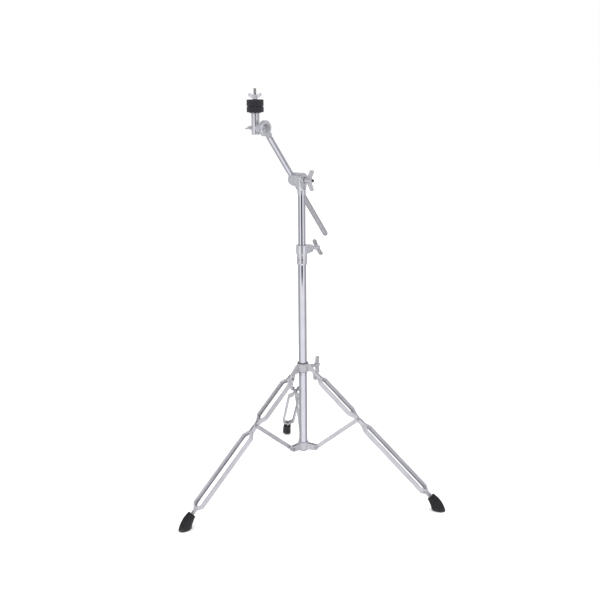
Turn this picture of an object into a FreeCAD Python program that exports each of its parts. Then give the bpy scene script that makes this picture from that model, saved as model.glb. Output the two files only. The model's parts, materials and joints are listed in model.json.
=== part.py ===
"""Cymbal boom stand: a folding double-braced tripod, a telescopic column and a boom arm with a cymbal tilter.

Units are millimetres. The origin is the point of the floor under the column, +Z is up, and +X is to the right of
someone who stands in front of the stand and looks along +Y. Every sub-part is written to parts/NAME.step.

Three local frames are used.
  leg plane   X outwards from the column, Y sideways, Z up; a leg, its stay and its ears are drawn there, then turned
              about the column to the leg's azimuth.
  head        X along the tilt axis of the boom, Z up; turned about the column by HEAD_AZIMUTH.
  boom        as head, but with Z along the boom arm and the origin on the boom's tilt axis.
"""
import FreeCAD, Part
import math
import os

from FreeCAD import Placement, Rotation, Vector

# ---------------------------------------------------------------- driving dimensions: fits
RUN = 0.08           # radial clearance of a piece that slides or turns on another
PIVOT_RUN = 0.06     # radial clearance of a rivet in what turns on it
SEAT = 0.05          # gap between two pieces that are pressed or bolted together
FACE_GAP = 0.3       # gap between the flat faces of two pieces that turn on each other

# ---------------------------------------------------------------- driving dimensions: column
BASE_OD = 25.4
BASE_WALL = 1.2
BASE_BOTTOM = 128.0
UPPER_OD = 22.2
UPPER_WALL = 1.2
UPPER_BOTTOM = 273.0
GUIDE_LENGTH = 22.0
PLUG_LENGTH = 14.0
PLUG_FLANGE = 2.5
PLUG_LIP = 1.5               # of the plug's flange beyond the tube
PLUG_WALL = 2.0
GUIDE_SHOULDER = 8.0         # height of the guide's sliding part, under the tube
GUIDE_WALL = 3.0

# ---------------------------------------------------------------- driving dimensions: height clamp
CLAMP_BOTTOM = 716.3
CLAMP_SLEEVE_OD = BASE_OD + 6.0
CLAMP_SLEEVE_LENGTH = 26.3
CLAMP_RING_OD = BASE_OD + 10.0
CLAMP_RING_HEIGHT = 28.4
CLAMP_TAPER = 5.0
CLAMP_BOSS_REACH = 37.5
CLAMP_BOSS_D = 20.0
CLAMP_AZIMUTH = 35.0
CLAMP_WING_TURN = -44.0
CLAMP_FOOT_LIP = 1.0         # of the clamp's lower rim over the tube
CLAMP_SHOULDER_RISE = 1.5    # of the cone between the sleeve and the ring
CLAMP_PIN_AT = 0.46          # of the sleeve's height
CLAMP_PIN_AZIMUTHS = (-122.0, -84.0)
CLAMP_PIN_R = 1.9
CLAMP_PIN_PROUD = 0.5
BUSH_SLOT = 1.6
BUSH_SLOT_UP = 8.0           # of the bush's slot, from the tube's end
BUSH_SHORT = 2.0             # from the ring's top down to the bush's

# ---------------------------------------------------------------- driving dimensions: tripod
LEG_AZIMUTHS = (218.0, -22.0, 98.0)
PIVOT_RADIUS = 42.0          # of the hub pivots and of the collar pivots, from the column's axis
HUB_PIVOT_Z = 138.5
LINK = 177.8                 # stay length, and the leg's length from its top pivot to its knee
SPREAD_ANGLE = 50.1          # of the stay from the vertical
TOP_DROP = 7.5               # the leg's top pivot lies this far under the strips' centre line
KNEE_RISE = 1.6              # and its knee this far above it
TONGUE = 6.0                 # thickness of the stay's ends and of the collar's ears
RIVET_D = 5.0
RIVET_HEAD_D = 9.0
RIVET_HEAD = 1.8
STAY_WIDTH = 12.5
STAY_WEB = 1.5

# ---------------------------------------------------------------- driving dimensions: leg strips
STRIP_DEPTH = 13.5
STRIP_WIDTH = 5.5
STRIP_SHEET = 1.4
LOOP_WIDTH = 40.5            # across both strips of a leg, outside
LOOP_AT_TOP = (8.5, 23.0)      # from the leg's top: the strips part here, and are full width there
LOOP_OVER_KNEE = (31.5, 11.5)  # from the knee upwards: last full width, and pinched together again
LOOP_UNDER_KNEE = (21.5, 40.5)
LOOP_AT_FOOT = (89.3, 74.3)    # from where the leg's line meets the floor
STRIP_TOP = -6.0
TAB_ROUND = 7.5
STRIP_END_UP = 45.3            # of the strips' ends from the floor, along the leg
FOOT_RIVET_UP = 66.8
BEND_RADIUS = 7.0

# ---------------------------------------------------------------- driving dimensions: rubber foot
FOOT_TOP_UP = 60.3            # from the floor, along the leg
FOOT_TOP_D = 24.0
FOOT_MIDDLE_BACK = 24.5       # of the middle section, inwards from where the leg's line meets the floor
FOOT_MIDDLE_Z = 17.0
FOOT_MIDDLE_LENGTH = 37.0
FOOT_MIDDLE_WIDTH = 28.0
FOOT_SOLE_BACK = 18.5
FOOT_SOLE_LENGTH = 42.0
FOOT_SOLE_WIDTH = 28.0
FOOT_SOLE_ROUND = 3.0

# ---------------------------------------------------------------- driving dimensions: spreader hub and leg collar
HUB_OD = BASE_OD + 8.6
HUB_HEIGHT = 26.0
HUB_PIN_AT = 0.6              # of the hub's height
HUB_EAR = 3.6
EAR_ROUND = 7.5
COLLAR_OD = BASE_OD + 10.6
COLLAR_OVER_PIVOT = 16.0       # the collar's bottom over the legs' top pivots
COLLAR_HEIGHT = 26.0
COLLAR_BOSS_REACH = 38.0
COLLAR_BOSS_D = 17.0
COLLAR_AZIMUTH = 38.0
COLLAR_BUSH_WALL = 2.0
COLLAR_BUSH_LIP = 1.2          # how far its lips stand out, and how thick they are

# ---------------------------------------------------------------- driving dimensions: wing nuts and bolts
WING_SPAN = 56.0
BOOM_WING_SPAN = 60.0
WING_LOBE = 15.0
WING_SHEET = 4.6
WING_NECK = 8.0
WING_NECK_D = 10.0
WING_HUB_D = 14.0
WING_HUB = 18.0
THREAD_D = 8.0
SMALL_SPAN = 38.0
SMALL_LOBE = 11.0
SMALL_HUB_D = 13.0
SMALL_HUB = 11.0
SMALL_THREAD_D = 6.0
TILTER_WING_TURN = 84.0      # of the tilter's wing nut, from upright
TOP_WING_TURN = 58.0         # of the cymbal's wing nut, about the rod

# ---------------------------------------------------------------- driving dimensions: boom
HEAD_AZIMUTH = -40.0
BOOM_Z = 959.5
ARM_TILT = 39.2              # of the arm from the vertical
ARM_OD = 15.9
ARM_WALL = 1.6
ARM_OFFSET = 29.4            # from the column's axis to the arm's, along the tilt axis
ARM_ABOVE = 163.0            # length of the arm over the tilt axis
ARM_BELOW = 230.5
END_CAP = 6.6                # height of the domed end cap under the arm
END_CAP_PLUG = 12.0          # and of its plug in the arm
DRUM_D = 41.0
DRUM_RIGHT = 9.0
DRUM_SPLIT = -14.0
DRUM_LEFT = -42.0
DRUM_BOSS = 4.0              # of the flat boss that the washer lies on, from the drum's end
BRACKET_BOTTOM = 918.0
BRACKET_SLEEVE_WALL = 1.3
BRACKET_SLEEVE_TOP = 932.0
NECK_FLARE = 8.0             # height of the flare from the sleeve to the drum
TUBE_TO_DRUM = 3.0
EYE_OD = 22.6
EYE_HEIGHT = 12.0
EYE_BOLT_END = 44.0
THREAD_SHOWING = 3.0         # beyond the wing nut
WASHER_D = 18.0
WASHER = 1.5
TOOTH_COUNT = 24
TOOTH_DEPTH = 1.0

# ---------------------------------------------------------------- driving dimensions: tilter and cymbal seat
TILTER_ALONG = 193.8         # from the boom's tilt axis to the tilter's, along the arm
TILTER_D = 43.0
TILTER_FACE = -20.8
TILTER_DISC = 6.4
TILTER_REAR_DISC = 3.6
SET_SCREW_R = 2.5
SET_SCREW_DEPTH = 3.0        # in the tilter's stem
SET_SCREW_PROUD = 0.3
SET_SCREW_KEY_R = 1.45
SET_SCREW_KEY_DEPTH = 2.0
TILTER_NECK = 14.0           # width of the neck between the stem and the disc
STEM_INSIDE = 30.0
POST_OFFSET = 61.0
POST_D = 22.2
POST_BOTTOM = 18.5           # under the tilter's axis
POST_TOP = 40.0              # over the tilter's axis
ROD_D = 8.0
ROD_TOP = 106.0              # over the tilter's axis
SEAT_WASHER_D = 32.0
SEAT_WASHER = 1.8
SLEEVE_OD = 12.0
SLEEVE_LENGTH = 34.0
FELT_D = 47.6
LOWER_FELT = 15.9
UPPER_FELT = 18.6
BOLT_HEAD_D = 23.6
BOLT_HEAD = 3.6

# ---------------------------------------------------------------- worked out from the above
BASE_R = BASE_OD / 2
BASE_BORE_R = BASE_R - BASE_WALL
UPPER_R = UPPER_OD / 2
UPPER_BORE_R = UPPER_R - UPPER_WALL
ARM_R = ARM_OD / 2
ARM_BORE_R = ARM_R - ARM_WALL
RIVET_R = RIVET_D / 2
HUB_PIN_R = 0.8 * RIVET_R
PIVOT_BORE_R = RIVET_R + PIVOT_RUN
THREAD_R = THREAD_D / 2
SMALL_THREAD_R = SMALL_THREAD_D / 2

CLAMP_SHOULDER = CLAMP_BOTTOM + CLAMP_SLEEVE_LENGTH
CLAMP_TOP = CLAMP_SHOULDER + CLAMP_RING_HEIGHT
BASE_TOP = CLAMP_SHOULDER + 3.0
CLAMP_BOLT_Z = CLAMP_SHOULDER + CLAMP_RING_HEIGHT / 2
SPREAD = math.radians(SPREAD_ANGLE)
KNEE_RADIUS = PIVOT_RADIUS + LINK * math.sin(SPREAD)
KNEE_Z = HUB_PIVOT_Z + LINK * math.cos(SPREAD)
COLLAR_PIVOT_Z = HUB_PIVOT_Z + 2 * LINK * math.cos(SPREAD)
PIVOT_SKEW = math.asin((TOP_DROP + KNEE_RISE) / LINK)
KNEE_ALONG = LINK * math.cos(PIVOT_SKEW)
LEG_ANGLE = SPREAD_ANGLE - math.degrees(PIVOT_SKEW)
LEG_DOWN = Vector(math.sin(math.radians(LEG_ANGLE)), 0, -math.cos(math.radians(LEG_ANGLE)))
LEG_OUT = Vector(math.cos(math.radians(LEG_ANGLE)), 0, math.sin(math.radians(LEG_ANGLE)))
LEG_START = Vector(PIVOT_RADIUS, 0, COLLAR_PIVOT_Z) + LEG_OUT * TOP_DROP
LEG_TO_FLOOR = LEG_START.z / -LEG_DOWN.z
FLOOR_RADIUS = LEG_START.x + LEG_TO_FLOOR * LEG_DOWN.x
UPPER_LOOP = LOOP_AT_TOP + tuple(KNEE_ALONG - back for back in LOOP_OVER_KNEE)
LOWER_LOOP = tuple(KNEE_ALONG + on for on in LOOP_UNDER_KNEE) + tuple(LEG_TO_FLOOR - up for up in LOOP_AT_FOOT)
STRIP_END = LEG_TO_FLOOR - STRIP_END_UP
FOOT_RIVET = LEG_TO_FLOOR - FOOT_RIVET_UP
FOOT_TOP = LEG_TO_FLOOR - FOOT_TOP_UP
COLLAR_BOTTOM = COLLAR_PIVOT_Z + COLLAR_OVER_PIVOT
PINCH_INNER = TONGUE / 2 + FACE_GAP
PINCH_OUTER = PINCH_INNER + STRIP_SHEET
FOOT_PINCH_OUTER = SEAT + STRIP_SHEET
COLLAR_BOLT_Z = COLLAR_BOTTOM + 0.3 * COLLAR_HEIGHT
COLLAR_BUSH_LIP_R = BASE_R + RUN + COLLAR_BUSH_WALL + COLLAR_BUSH_LIP
ARM_TILT_RAD = math.radians(ARM_TILT)
TILTER_Y = -TILTER_ALONG * math.sin(ARM_TILT_RAD)
TILTER_Z = BOOM_Z + TILTER_ALONG * math.cos(ARM_TILT_RAD)
TILTER_SPLIT = TILTER_FACE - TILTER_DISC
TILTER_REAR = TILTER_SPLIT - FACE_GAP - TILTER_REAR_DISC
BRACKET_SOCKET_TOP = BOOM_Z - DRUM_D / 2 - TUBE_TO_DRUM
BRACKET_PIN_R = 1.8
SET_SCREW_ALONG = ARM_ABOVE - 8.0
SPRING_POCKET_R = 7.2
SPRING_HALF = 2.6
SPRING_WIRE_R = 0.6
SPRING_R = 5.4
ROD_FOOT = 12.0
SEAT_TOP = POST_TOP + SEAT + SEAT_WASHER
LOWER_FELT_BOTTOM = SEAT_TOP + SEAT
UPPER_FELT_BOTTOM = LOWER_FELT_BOTTOM + LOWER_FELT + SEAT
STACK_TOP = UPPER_FELT_BOTTOM + UPPER_FELT


# ---------------------------------------------------------------- drawing helpers
def outline(points, radius=0.0):
    """A closed wire through (x, y) points in the XY plane, with each corner rounded to its radius."""
    count = len(points)
    radii = radius if isinstance(radius, (list, tuple)) else [radius] * count
    corners = [Vector(x, y, 0) for x, y in points]
    stops = []
    for i, (corner, r) in enumerate(zip(corners, radii)):
        back = (corners[i - 1] - corner).normalize()
        ahead = (corners[(i + 1) % count] - corner).normalize()
        half = back.getAngle(ahead) / 2
        if r > 0 and half < math.radians(89.9):
            reach = r / math.tan(half)
            inward = (back + ahead).normalize() * (r / math.sin(half) - r)
            stops.append((corner + back * reach, corner + inward, corner + ahead * reach))
        else:
            stops.append((corner, None, corner))
    edges = []
    for i, (start, middle, end) in enumerate(stops):
        if middle is not None:
            edges.append(Part.Arc(start, middle, end).toShape())
        following = stops[(i + 1) % count][0]
        if (following - end).Length > 1e-6:
            edges.append(Part.makeLine(end, following))
    return Part.Wire(edges)


def plate(points, low, high, radius=0.0):
    """An outline in the XY plane, extruded from Z = low to Z = high."""
    face = Part.Face(outline(points, radius))
    face.translate(Vector(0, 0, low))
    return face.extrude(Vector(0, 0, high - low))


def upright(points, half, radius=0.0):
    """A plate in the XZ plane, drawn as (x, z) points and reaching from Y = -half to Y = half."""
    shape = plate(points, -half, half, radius)
    shape.rotate(Vector(0, 0, 0), Vector(1, 0, 0), 90)
    return shape


def turned(points, radius=0.0):
    """A solid of revolution about Z, from an outline of (radius, z) points."""
    face = Part.Face(outline(points, radius))
    face.rotate(Vector(0, 0, 0), Vector(1, 0, 0), 90)
    return face.revolve(Vector(0, 0, 0), Vector(0, 0, 1), 360)


def rod(r, start, end):
    """A round bar of radius r from one point to another."""
    start, end = Vector(*start), Vector(*end)
    return Part.makeCylinder(r, (end - start).Length, start, end - start)


def pipe(outer, inner, bottom, top):
    """A tube on the column's axis."""
    return rod(outer, (0, 0, bottom), (0, 0, top)).cut(rod(inner, (0, 0, bottom - 1), (0, 0, top + 1)))


def fused(shapes):
    """One solid from shapes that overlap."""
    return shapes[0].multiFuse(shapes[1:]).removeSplitter()


def placed(shape, placement):
    """A copy moved from its own frame by a placement."""
    moved = shape.copy()
    moved.Placement = placement.multiply(shape.Placement)
    return moved


def aimed(shape, origin, direction, up=Vector(0, 0, 1)):
    """Local +Z along a direction, with local +X as near to up as it can be, and the origin at a point."""
    z = Vector(*direction).normalize()
    x = up - z * up.dot(z)
    if x.Length < 1e-6:
        x = Vector(1, 0, 0)
    x.normalize()
    return placed(shape, Placement(Vector(*origin), Rotation(x, z.cross(x), z, "ZXY")))


def about_column(shape, azimuth):
    """A copy turned about the column's axis."""
    moved = shape.copy()
    moved.rotate(Vector(0, 0, 0), Vector(0, 0, 1), azimuth)
    return moved


def on_head(shape):
    """From the head frame to the stand's."""
    return about_column(shape, HEAD_AZIMUTH)


def on_boom(shape):
    """From the boom frame to the stand's."""
    moved = shape.copy()
    moved.rotate(Vector(0, 0, 0), Vector(1, 0, 0), ARM_TILT)
    moved.translate(Vector(0, 0, BOOM_Z))
    return on_head(moved)


def on_leg(shape):
    """From the leg's own axes, X down the leg, Y sideways and Z outwards, to the leg plane."""
    return placed(shape, Placement(LEG_START, Rotation(LEG_DOWN, Vector(0, 1, 0), LEG_OUT, "XZY")))


def offset_path(points, distance):
    """The (x, y) points of an open path moved sideways, to the left of travel for a positive distance."""
    path = [Vector(x, y, 0) for x, y in points]
    normals = []
    for here, following in zip(path, path[1:]):
        along = (following - here).normalize()
        normals.append(Vector(-along.y, along.x, 0))
    moved = []
    for i, point in enumerate(path):
        before = normals[max(i - 1, 0)]
        after = normals[min(i, len(normals) - 1)]
        middle = (before + after).normalize()
        shifted = point + middle * (distance / middle.dot(after))
        moved.append((shifted.x, shifted.y))
    return moved


def rivet(half_grip):
    """A round-headed rivet on the Z axis, symmetrical about Z = 0, that holds 2 * half_grip of metal."""
    head_r = RIVET_HEAD_D / 2
    seat = half_grip + SEAT
    profile = [(0, -seat - RIVET_HEAD), (head_r, -seat - RIVET_HEAD), (head_r, -seat), (RIVET_R, -seat)]
    profile += [(RIVET_R, seat), (head_r, seat), (head_r, seat + RIVET_HEAD), (0, seat + RIVET_HEAD)]
    rounding = RIVET_HEAD * 0.8
    return turned(profile, [0, rounding, 0, 0, 0, 0, rounding, 0])


def sideways(shape, x, z):
    """A shape drawn on Z laid along +Y, through (x, z) of the leg plane."""
    return aimed(shape, (x, 0, z), (0, 1, 0))


def wings(span, lobe, rise, hub_d, hub, sheet):
    """A pair of wings in the XZ plane on a round hub that stands on Z = 0, with no bore."""
    reach = span / 2
    core = hub_d / 2
    low = rise - lobe / 2
    high = rise + lobe / 2
    inside = core * 0.5
    points = [(-reach, high), (-reach, low), (-inside, 0.12 * hub), (inside, 0.12 * hub)]
    points += [(reach, low), (reach, high), (inside, 0.8 * hub), (-inside, 0.8 * hub)]
    end_round = lobe * 0.4
    web = upright(points, sheet / 2, [end_round, end_round, 0, 0, end_round, end_round, 0, 0])
    body = turned([(0, 0), (core, 0), (core * 0.74, hub), (0, hub)], [0, 0.8, 1.6, 0])
    return fused([body, web])


def big_wing_bolt(shank):
    """A cast wing on a neck, with a threaded shank that points down, along -Z."""
    wing = wings(WING_SPAN, WING_LOBE, WING_HUB * 0.66, WING_HUB_D, WING_HUB, WING_SHEET)
    wing.translate(Vector(0, 0, WING_NECK))
    neck = rod(WING_NECK_D / 2, (0, 0, 0), (0, 0, WING_NECK + 1))
    return fused([wing, neck, rod(THREAD_R, (0, 0, -shank), (0, 0, WING_NECK))])


def teeth(radius, inner):
    """Radial V grooves to be cut from a disc's face at X = 0, for a disc that lies at X < 0."""
    grooves = []
    half = math.pi * radius / TOOTH_COUNT * 0.5
    for i in range(TOOTH_COUNT):
        far = radius + 2
        corners = [Vector(0.1, -half, far), Vector(0.1, half, far), Vector(-TOOTH_DEPTH, 0, far)]
        face = Part.Face(Part.makePolygon(corners + corners[:1]))
        groove = face.extrude(Vector(0, 0, inner - far))
        groove.rotate(Vector(0, 0, 0), Vector(1, 0, 0), 360.0 * i / TOOTH_COUNT)
        grooves.append(groove)
    return Part.makeCompound(grooves)


# ---------------------------------------------------------------- column
def base_tube():
    tube = pipe(BASE_R, BASE_BORE_R, BASE_BOTTOM, BASE_TOP)
    return tube.cut(hub_pin_bar(HUB_PIN_R + SEAT))


def hub_pin_bar(r):
    """A bar across the column between two legs, through the hub and the tube."""
    reach = HUB_OD / 2
    middle_z = BASE_BOTTOM + HUB_HEIGHT * HUB_PIN_AT
    return about_column(rod(r, (-reach, 0, middle_z), (reach, 0, middle_z)), COLLAR_AZIMUTH)


def base_tube_plug():
    """A plastic plug pressed into the foot of the column, with a flange under the tube and the hub."""
    r = BASE_BORE_R - SEAT
    flange_r = BASE_R + PLUG_LIP
    top = BASE_BOTTOM + PLUG_LENGTH
    under = BASE_BOTTOM - SEAT
    profile = [(0, under - PLUG_FLANGE), (flange_r, under - PLUG_FLANGE), (flange_r, under), (r, under)]
    inner_r = r - PLUG_WALL
    profile += [(r, top), (inner_r, top), (inner_r, under + PLUG_WALL / 2), (0, under + PLUG_WALL / 2)]
    plug = turned(profile, [0, 1.2, 0, 0, 0, 0, 0, 0])
    return plug.cut(hub_pin_bar(HUB_PIN_R + SEAT))


def upper_tube():
    tube = pipe(UPPER_R, UPPER_BORE_R, UPPER_BOTTOM, BRACKET_SOCKET_TOP - SEAT)
    return tube.cut(on_head(bracket_pin_bar(BRACKET_PIN_R + SEAT)))


def upper_tube_guide():
    """A nylon guide in the lower end of the inner tube; the tube turns on it and both slide in the outer tube."""
    slide_r = BASE_BORE_R - RUN
    spigot_r = UPPER_BORE_R - RUN
    top = UPPER_BOTTOM - FACE_GAP
    low = top - GUIDE_SHOULDER
    bore_r = spigot_r - GUIDE_WALL
    profile = [(0, low), (slide_r, low), (slide_r, top), (spigot_r, top)]
    profile += [(spigot_r, top + GUIDE_LENGTH), (bore_r, top + GUIDE_LENGTH)]
    profile += [(bore_r, low + GUIDE_WALL), (0, low + GUIDE_WALL)]
    return turned(profile, [0, 1.5, 0, 0, 0.8, 0, 0, 0])


# ---------------------------------------------------------------- height clamp
def height_clamp():
    """A casting fixed on the outer tube's top. Its ring holds a bush and a boss for the wing bolt."""
    bottom_r = BASE_R + CLAMP_FOOT_LIP
    sleeve_r = CLAMP_SLEEVE_OD / 2
    ring_r = CLAMP_RING_OD / 2
    taper_foot = CLAMP_BOTTOM - CLAMP_TAPER
    profile = [(0, taper_foot), (bottom_r, taper_foot), (sleeve_r, CLAMP_BOTTOM), (sleeve_r, CLAMP_SHOULDER)]
    profile += [(ring_r, CLAMP_SHOULDER + CLAMP_SHOULDER_RISE), (ring_r, CLAMP_TOP), (0, CLAMP_TOP)]
    body = turned(profile, [0, 0, 2, 0.6, 1, 2.4, 0])
    boss_r = CLAMP_BOSS_D / 2
    boss = aimed(turned([(0, 0), (boss_r + 3, 0), (boss_r + 1.5, ring_r), (boss_r - 1, CLAMP_BOSS_REACH - 3),
                         (boss_r - 3.5, CLAMP_BOSS_REACH), (0, CLAMP_BOSS_REACH)], [0, 0, 4, 3, 1, 0]),
                 (0, 0, CLAMP_BOLT_Z), (1, 0, 0))
    lug = upright([(ring_r - 6, CLAMP_SHOULDER + 2), (ring_r + 3, CLAMP_SHOULDER + 2),
                   (CLAMP_BOSS_REACH - 2, CLAMP_BOLT_Z - boss_r + 1), (CLAMP_BOSS_REACH - 2, CLAMP_TOP - 3),
                   (ring_r + 4, CLAMP_TOP - 0.8), (ring_r - 6, CLAMP_TOP - 0.8)], boss_r - 1.5, [0, 4, 3, 3, 4, 0])
    casting = fused([body, about_column(boss, CLAMP_AZIMUTH), about_column(lug, CLAMP_AZIMUTH)])
    tube_bore = rod(BASE_R + SEAT, (0, 0, taper_foot - 1), (0, 0, BASE_TOP + SEAT))
    bush_bore = rod(BASE_R + SEAT, (0, 0, CLAMP_SHOULDER), (0, 0, CLAMP_TOP + 1))
    thread = about_column(rod(THREAD_R + RUN, (0, 0, CLAMP_BOLT_Z), (CLAMP_BOSS_REACH + 1, 0, CLAMP_BOLT_Z)),
                          CLAMP_AZIMUTH)
    return casting.cut([tube_bore, bush_bore, thread, clamp_rivet_shape(SEAT)])


def clamp_bush():
    """A split nylon bush that the inner tube slides in, seated on the outer tube's end."""
    bush = pipe(BASE_R, UPPER_R + RUN, BASE_TOP + SEAT, CLAMP_TOP - BUSH_SHORT)
    slot_foot = Vector(0, -BUSH_SLOT / 2, BASE_TOP + BUSH_SLOT_UP)
    slot = Part.makeBox(CLAMP_RING_OD, BUSH_SLOT, CLAMP_RING_HEIGHT, slot_foot)
    return bush.cut(about_column(slot, CLAMP_AZIMUTH + 180))


def clamp_rivet_shape(grow=0.0):
    """Two small flush pins that fix the clamp's sleeve to the outer tube, side by side at the front."""
    z = CLAMP_BOTTOM + CLAMP_PIN_AT * CLAMP_SLEEVE_LENGTH
    end = CLAMP_SLEEVE_OD / 2 + CLAMP_PIN_PROUD
    pins = []
    for azimuth in CLAMP_PIN_AZIMUTHS:
        pin = rod(CLAMP_PIN_R + grow, (BASE_R + SEAT - grow, 0, z), (end, 0, z))
        pins.append(about_column(pin, azimuth))
    return Part.makeCompound(pins)


def clamp_wing_bolt():
    tip = BASE_R + FACE_GAP
    bolt = big_wing_bolt(CLAMP_BOSS_REACH + FACE_GAP - tip)
    bolt.rotate(Vector(0, 0, 0), Vector(0, 0, 1), CLAMP_WING_TURN)
    return about_column(aimed(bolt, (CLAMP_BOSS_REACH + FACE_GAP, 0, CLAMP_BOLT_Z), (1, 0, 0)), CLAMP_AZIMUTH)


# ---------------------------------------------------------------- spreader hub and stays
def spreader_hub():
    """A casting on the foot of the column with three forked ears for the stays."""
    top = BASE_BOTTOM + HUB_HEIGHT
    body = turned([(0, BASE_BOTTOM), (HUB_OD / 2, BASE_BOTTOM), (HUB_OD / 2 - 1, top), (0, top)], [0, 2, 2.5, 0])
    low = HUB_PIVOT_Z - EAR_ROUND
    high = HUB_PIVOT_Z + EAR_ROUND
    tip = PIVOT_RADIUS + EAR_ROUND
    points = [(8, BASE_BOTTOM + 2), (tip, low), (tip, high), (8, top - 3)]
    inner = TONGUE / 2 + FACE_GAP
    solid_ear = upright(points, inner + HUB_EAR, [0, EAR_ROUND - 0.3, EAR_ROUND - 0.3, 0])
    fork = Part.makeBox(40, 2 * inner, HUB_HEIGHT + 8, Vector(HUB_OD / 2 + 0.5, -inner, BASE_BOTTOM - 4))
    ears = [about_column(solid_ear.cut(fork), azimuth) for azimuth in LEG_AZIMUTHS]
    hub = fused([body] + ears)
    bore = rod(BASE_R + SEAT, (0, 0, BASE_BOTTOM - 1), (0, 0, top + 1))
    bar = Part.makeCylinder(RIVET_R + SEAT, 30, Vector(0, 0, -15))
    holes = [about_column(sideways(bar, PIVOT_RADIUS, HUB_PIVOT_Z),
                          azimuth) for azimuth in LEG_AZIMUTHS]
    return hub.cut([bore, hub_pin_bar(HUB_PIN_R + SEAT)] + holes)


def hub_rivets():
    grip = TONGUE / 2 + FACE_GAP + HUB_EAR
    one = sideways(rivet(grip), PIVOT_RADIUS, HUB_PIVOT_Z)
    return Part.makeCompound([about_column(one, azimuth) for azimuth in LEG_AZIMUTHS])


def hub_pin():
    return hub_pin_bar(HUB_PIN_R)


def stay():
    """A pressed bar from the hub to the knee: a channel open to one side, with solid rounded ends."""
    half = STAY_WIDTH / 2
    bar = plate([(-half, -half), (LINK + half, -half), (LINK + half, half), (-half, half)],
                -TONGUE / 2, TONGUE / 2, half - 0.05)
    rim = half - STAY_WEB
    start = 2.2 * half
    hollow = plate([(start, -rim), (LINK - start, -rim), (LINK - start, rim), (start, rim)],
                   -TONGUE / 2 + STAY_WEB, TONGUE, rim * 0.6)
    holes = [Part.makeCylinder(PIVOT_BORE_R, 2 * TONGUE, Vector(x, 0, -TONGUE)) for x in (0, LINK)]
    shape = bar.cut([hollow] + holes)
    along = Vector(math.sin(SPREAD), 0, math.cos(SPREAD))
    lengthwise = Rotation(along, Vector(0, 1, 0).cross(along), Vector(0, 1, 0), "XZY")
    return placed(shape, Placement(Vector(PIVOT_RADIUS, 0, HUB_PIVOT_Z), lengthwise))


# ---------------------------------------------------------------- legs
def strip_path():
    """The outer face of one strip, as (along the leg, sideways) points."""
    leave, full, narrowing, pinched = UPPER_LOOP
    leave_2, full_2, narrowing_2, pinched_2 = LOWER_LOOP
    wide = LOOP_WIDTH / 2
    return [(STRIP_TOP, PINCH_OUTER), (leave, PINCH_OUTER), (full, wide), (narrowing, wide),
            (pinched, PINCH_OUTER), (leave_2, PINCH_OUTER), (full_2, wide), (narrowing_2, wide),
            (pinched_2, FOOT_PINCH_OUTER), (STRIP_END, FOOT_PINCH_OUTER)]


def strip_band(width, low, high):
    """A band of the given width inside the strip's outer face, with its bends rounded, extruded across the leg."""
    outer = strip_path()
    inner = offset_path(outer, -width)
    radii = [0] + [BEND_RADIUS] * (len(outer) - 2) + [0]
    return plate(outer + inner[::-1], low, high, radii + radii[::-1])


def leg_strip(side):
    """One channel-section strip of a leg: a web on the outside and two flanges that turn inwards."""
    half = STRIP_DEPTH / 2
    web = strip_band(STRIP_SHEET, -half, half)
    between_loops = (LOWER_LOOP[1] + LOWER_LOOP[2]) / 2
    keep_upper = Part.makeBox(between_loops - STRIP_TOP, 60, STRIP_DEPTH, Vector(STRIP_TOP, PINCH_INNER, -half))
    keep_lower = Part.makeBox(STRIP_END - between_loops, 60, STRIP_DEPTH, Vector(between_loops, SEAT, -half))
    keep = keep_upper.fuse(keep_lower)
    flanges = [strip_band(STRIP_WIDTH, low, low + STRIP_SHEET).common(keep) for low in (-half, half - STRIP_SHEET)]
    tab = rod(TAB_ROUND, (0, PINCH_INNER, -TOP_DROP), (0, PINCH_OUTER, -TOP_DROP))
    shape = fused([web, tab] + flanges)
    for x, z in ((0, -TOP_DROP), (KNEE_ALONG, KNEE_RISE), (FOOT_RIVET, 0)):
        shape = shape.cut(rod(RIVET_R + SEAT, (x, -40, z), (x, 40, z)))
    if side < 0:
        shape = shape.mirror(Vector(0, 0, 0), Vector(0, 1, 0))
    return on_leg(shape)


def leg_rivets():
    """The leg's pivots at the collar and at the knee, and the rivet over the foot."""
    across = Rotation(Vector(1, 0, 0), -90)
    places = ((0, -TOP_DROP, PINCH_OUTER), (KNEE_ALONG, KNEE_RISE, PINCH_OUTER), (FOOT_RIVET, 0, FOOT_PINCH_OUTER))
    rivets = []
    for x, z, grip in places:
        rivets.append(on_leg(placed(rivet(grip), Placement(Vector(x, 0, z), across))))
    return Part.makeCompound(rivets)


def oval(centre, x_axis, y_axis, rx, ry):
    """An elliptical wire with its centre and its two half axes along unit directions."""
    normal = x_axis.cross(y_axis)
    placement = Placement(centre, Rotation(x_axis, y_axis, normal, "ZXY"))
    major, minor = max(rx, ry), min(rx, ry)
    ellipse = Part.Ellipse(Vector(0, 0, 0), major, minor).toShape() if major > minor else Part.makeCircle(rx)
    wire = Part.Wire([ellipse])
    if ry > rx:
        wire.rotate(Vector(0, 0, 0), Vector(0, 0, 1), 90)
    return placed(wire, placement)


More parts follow.
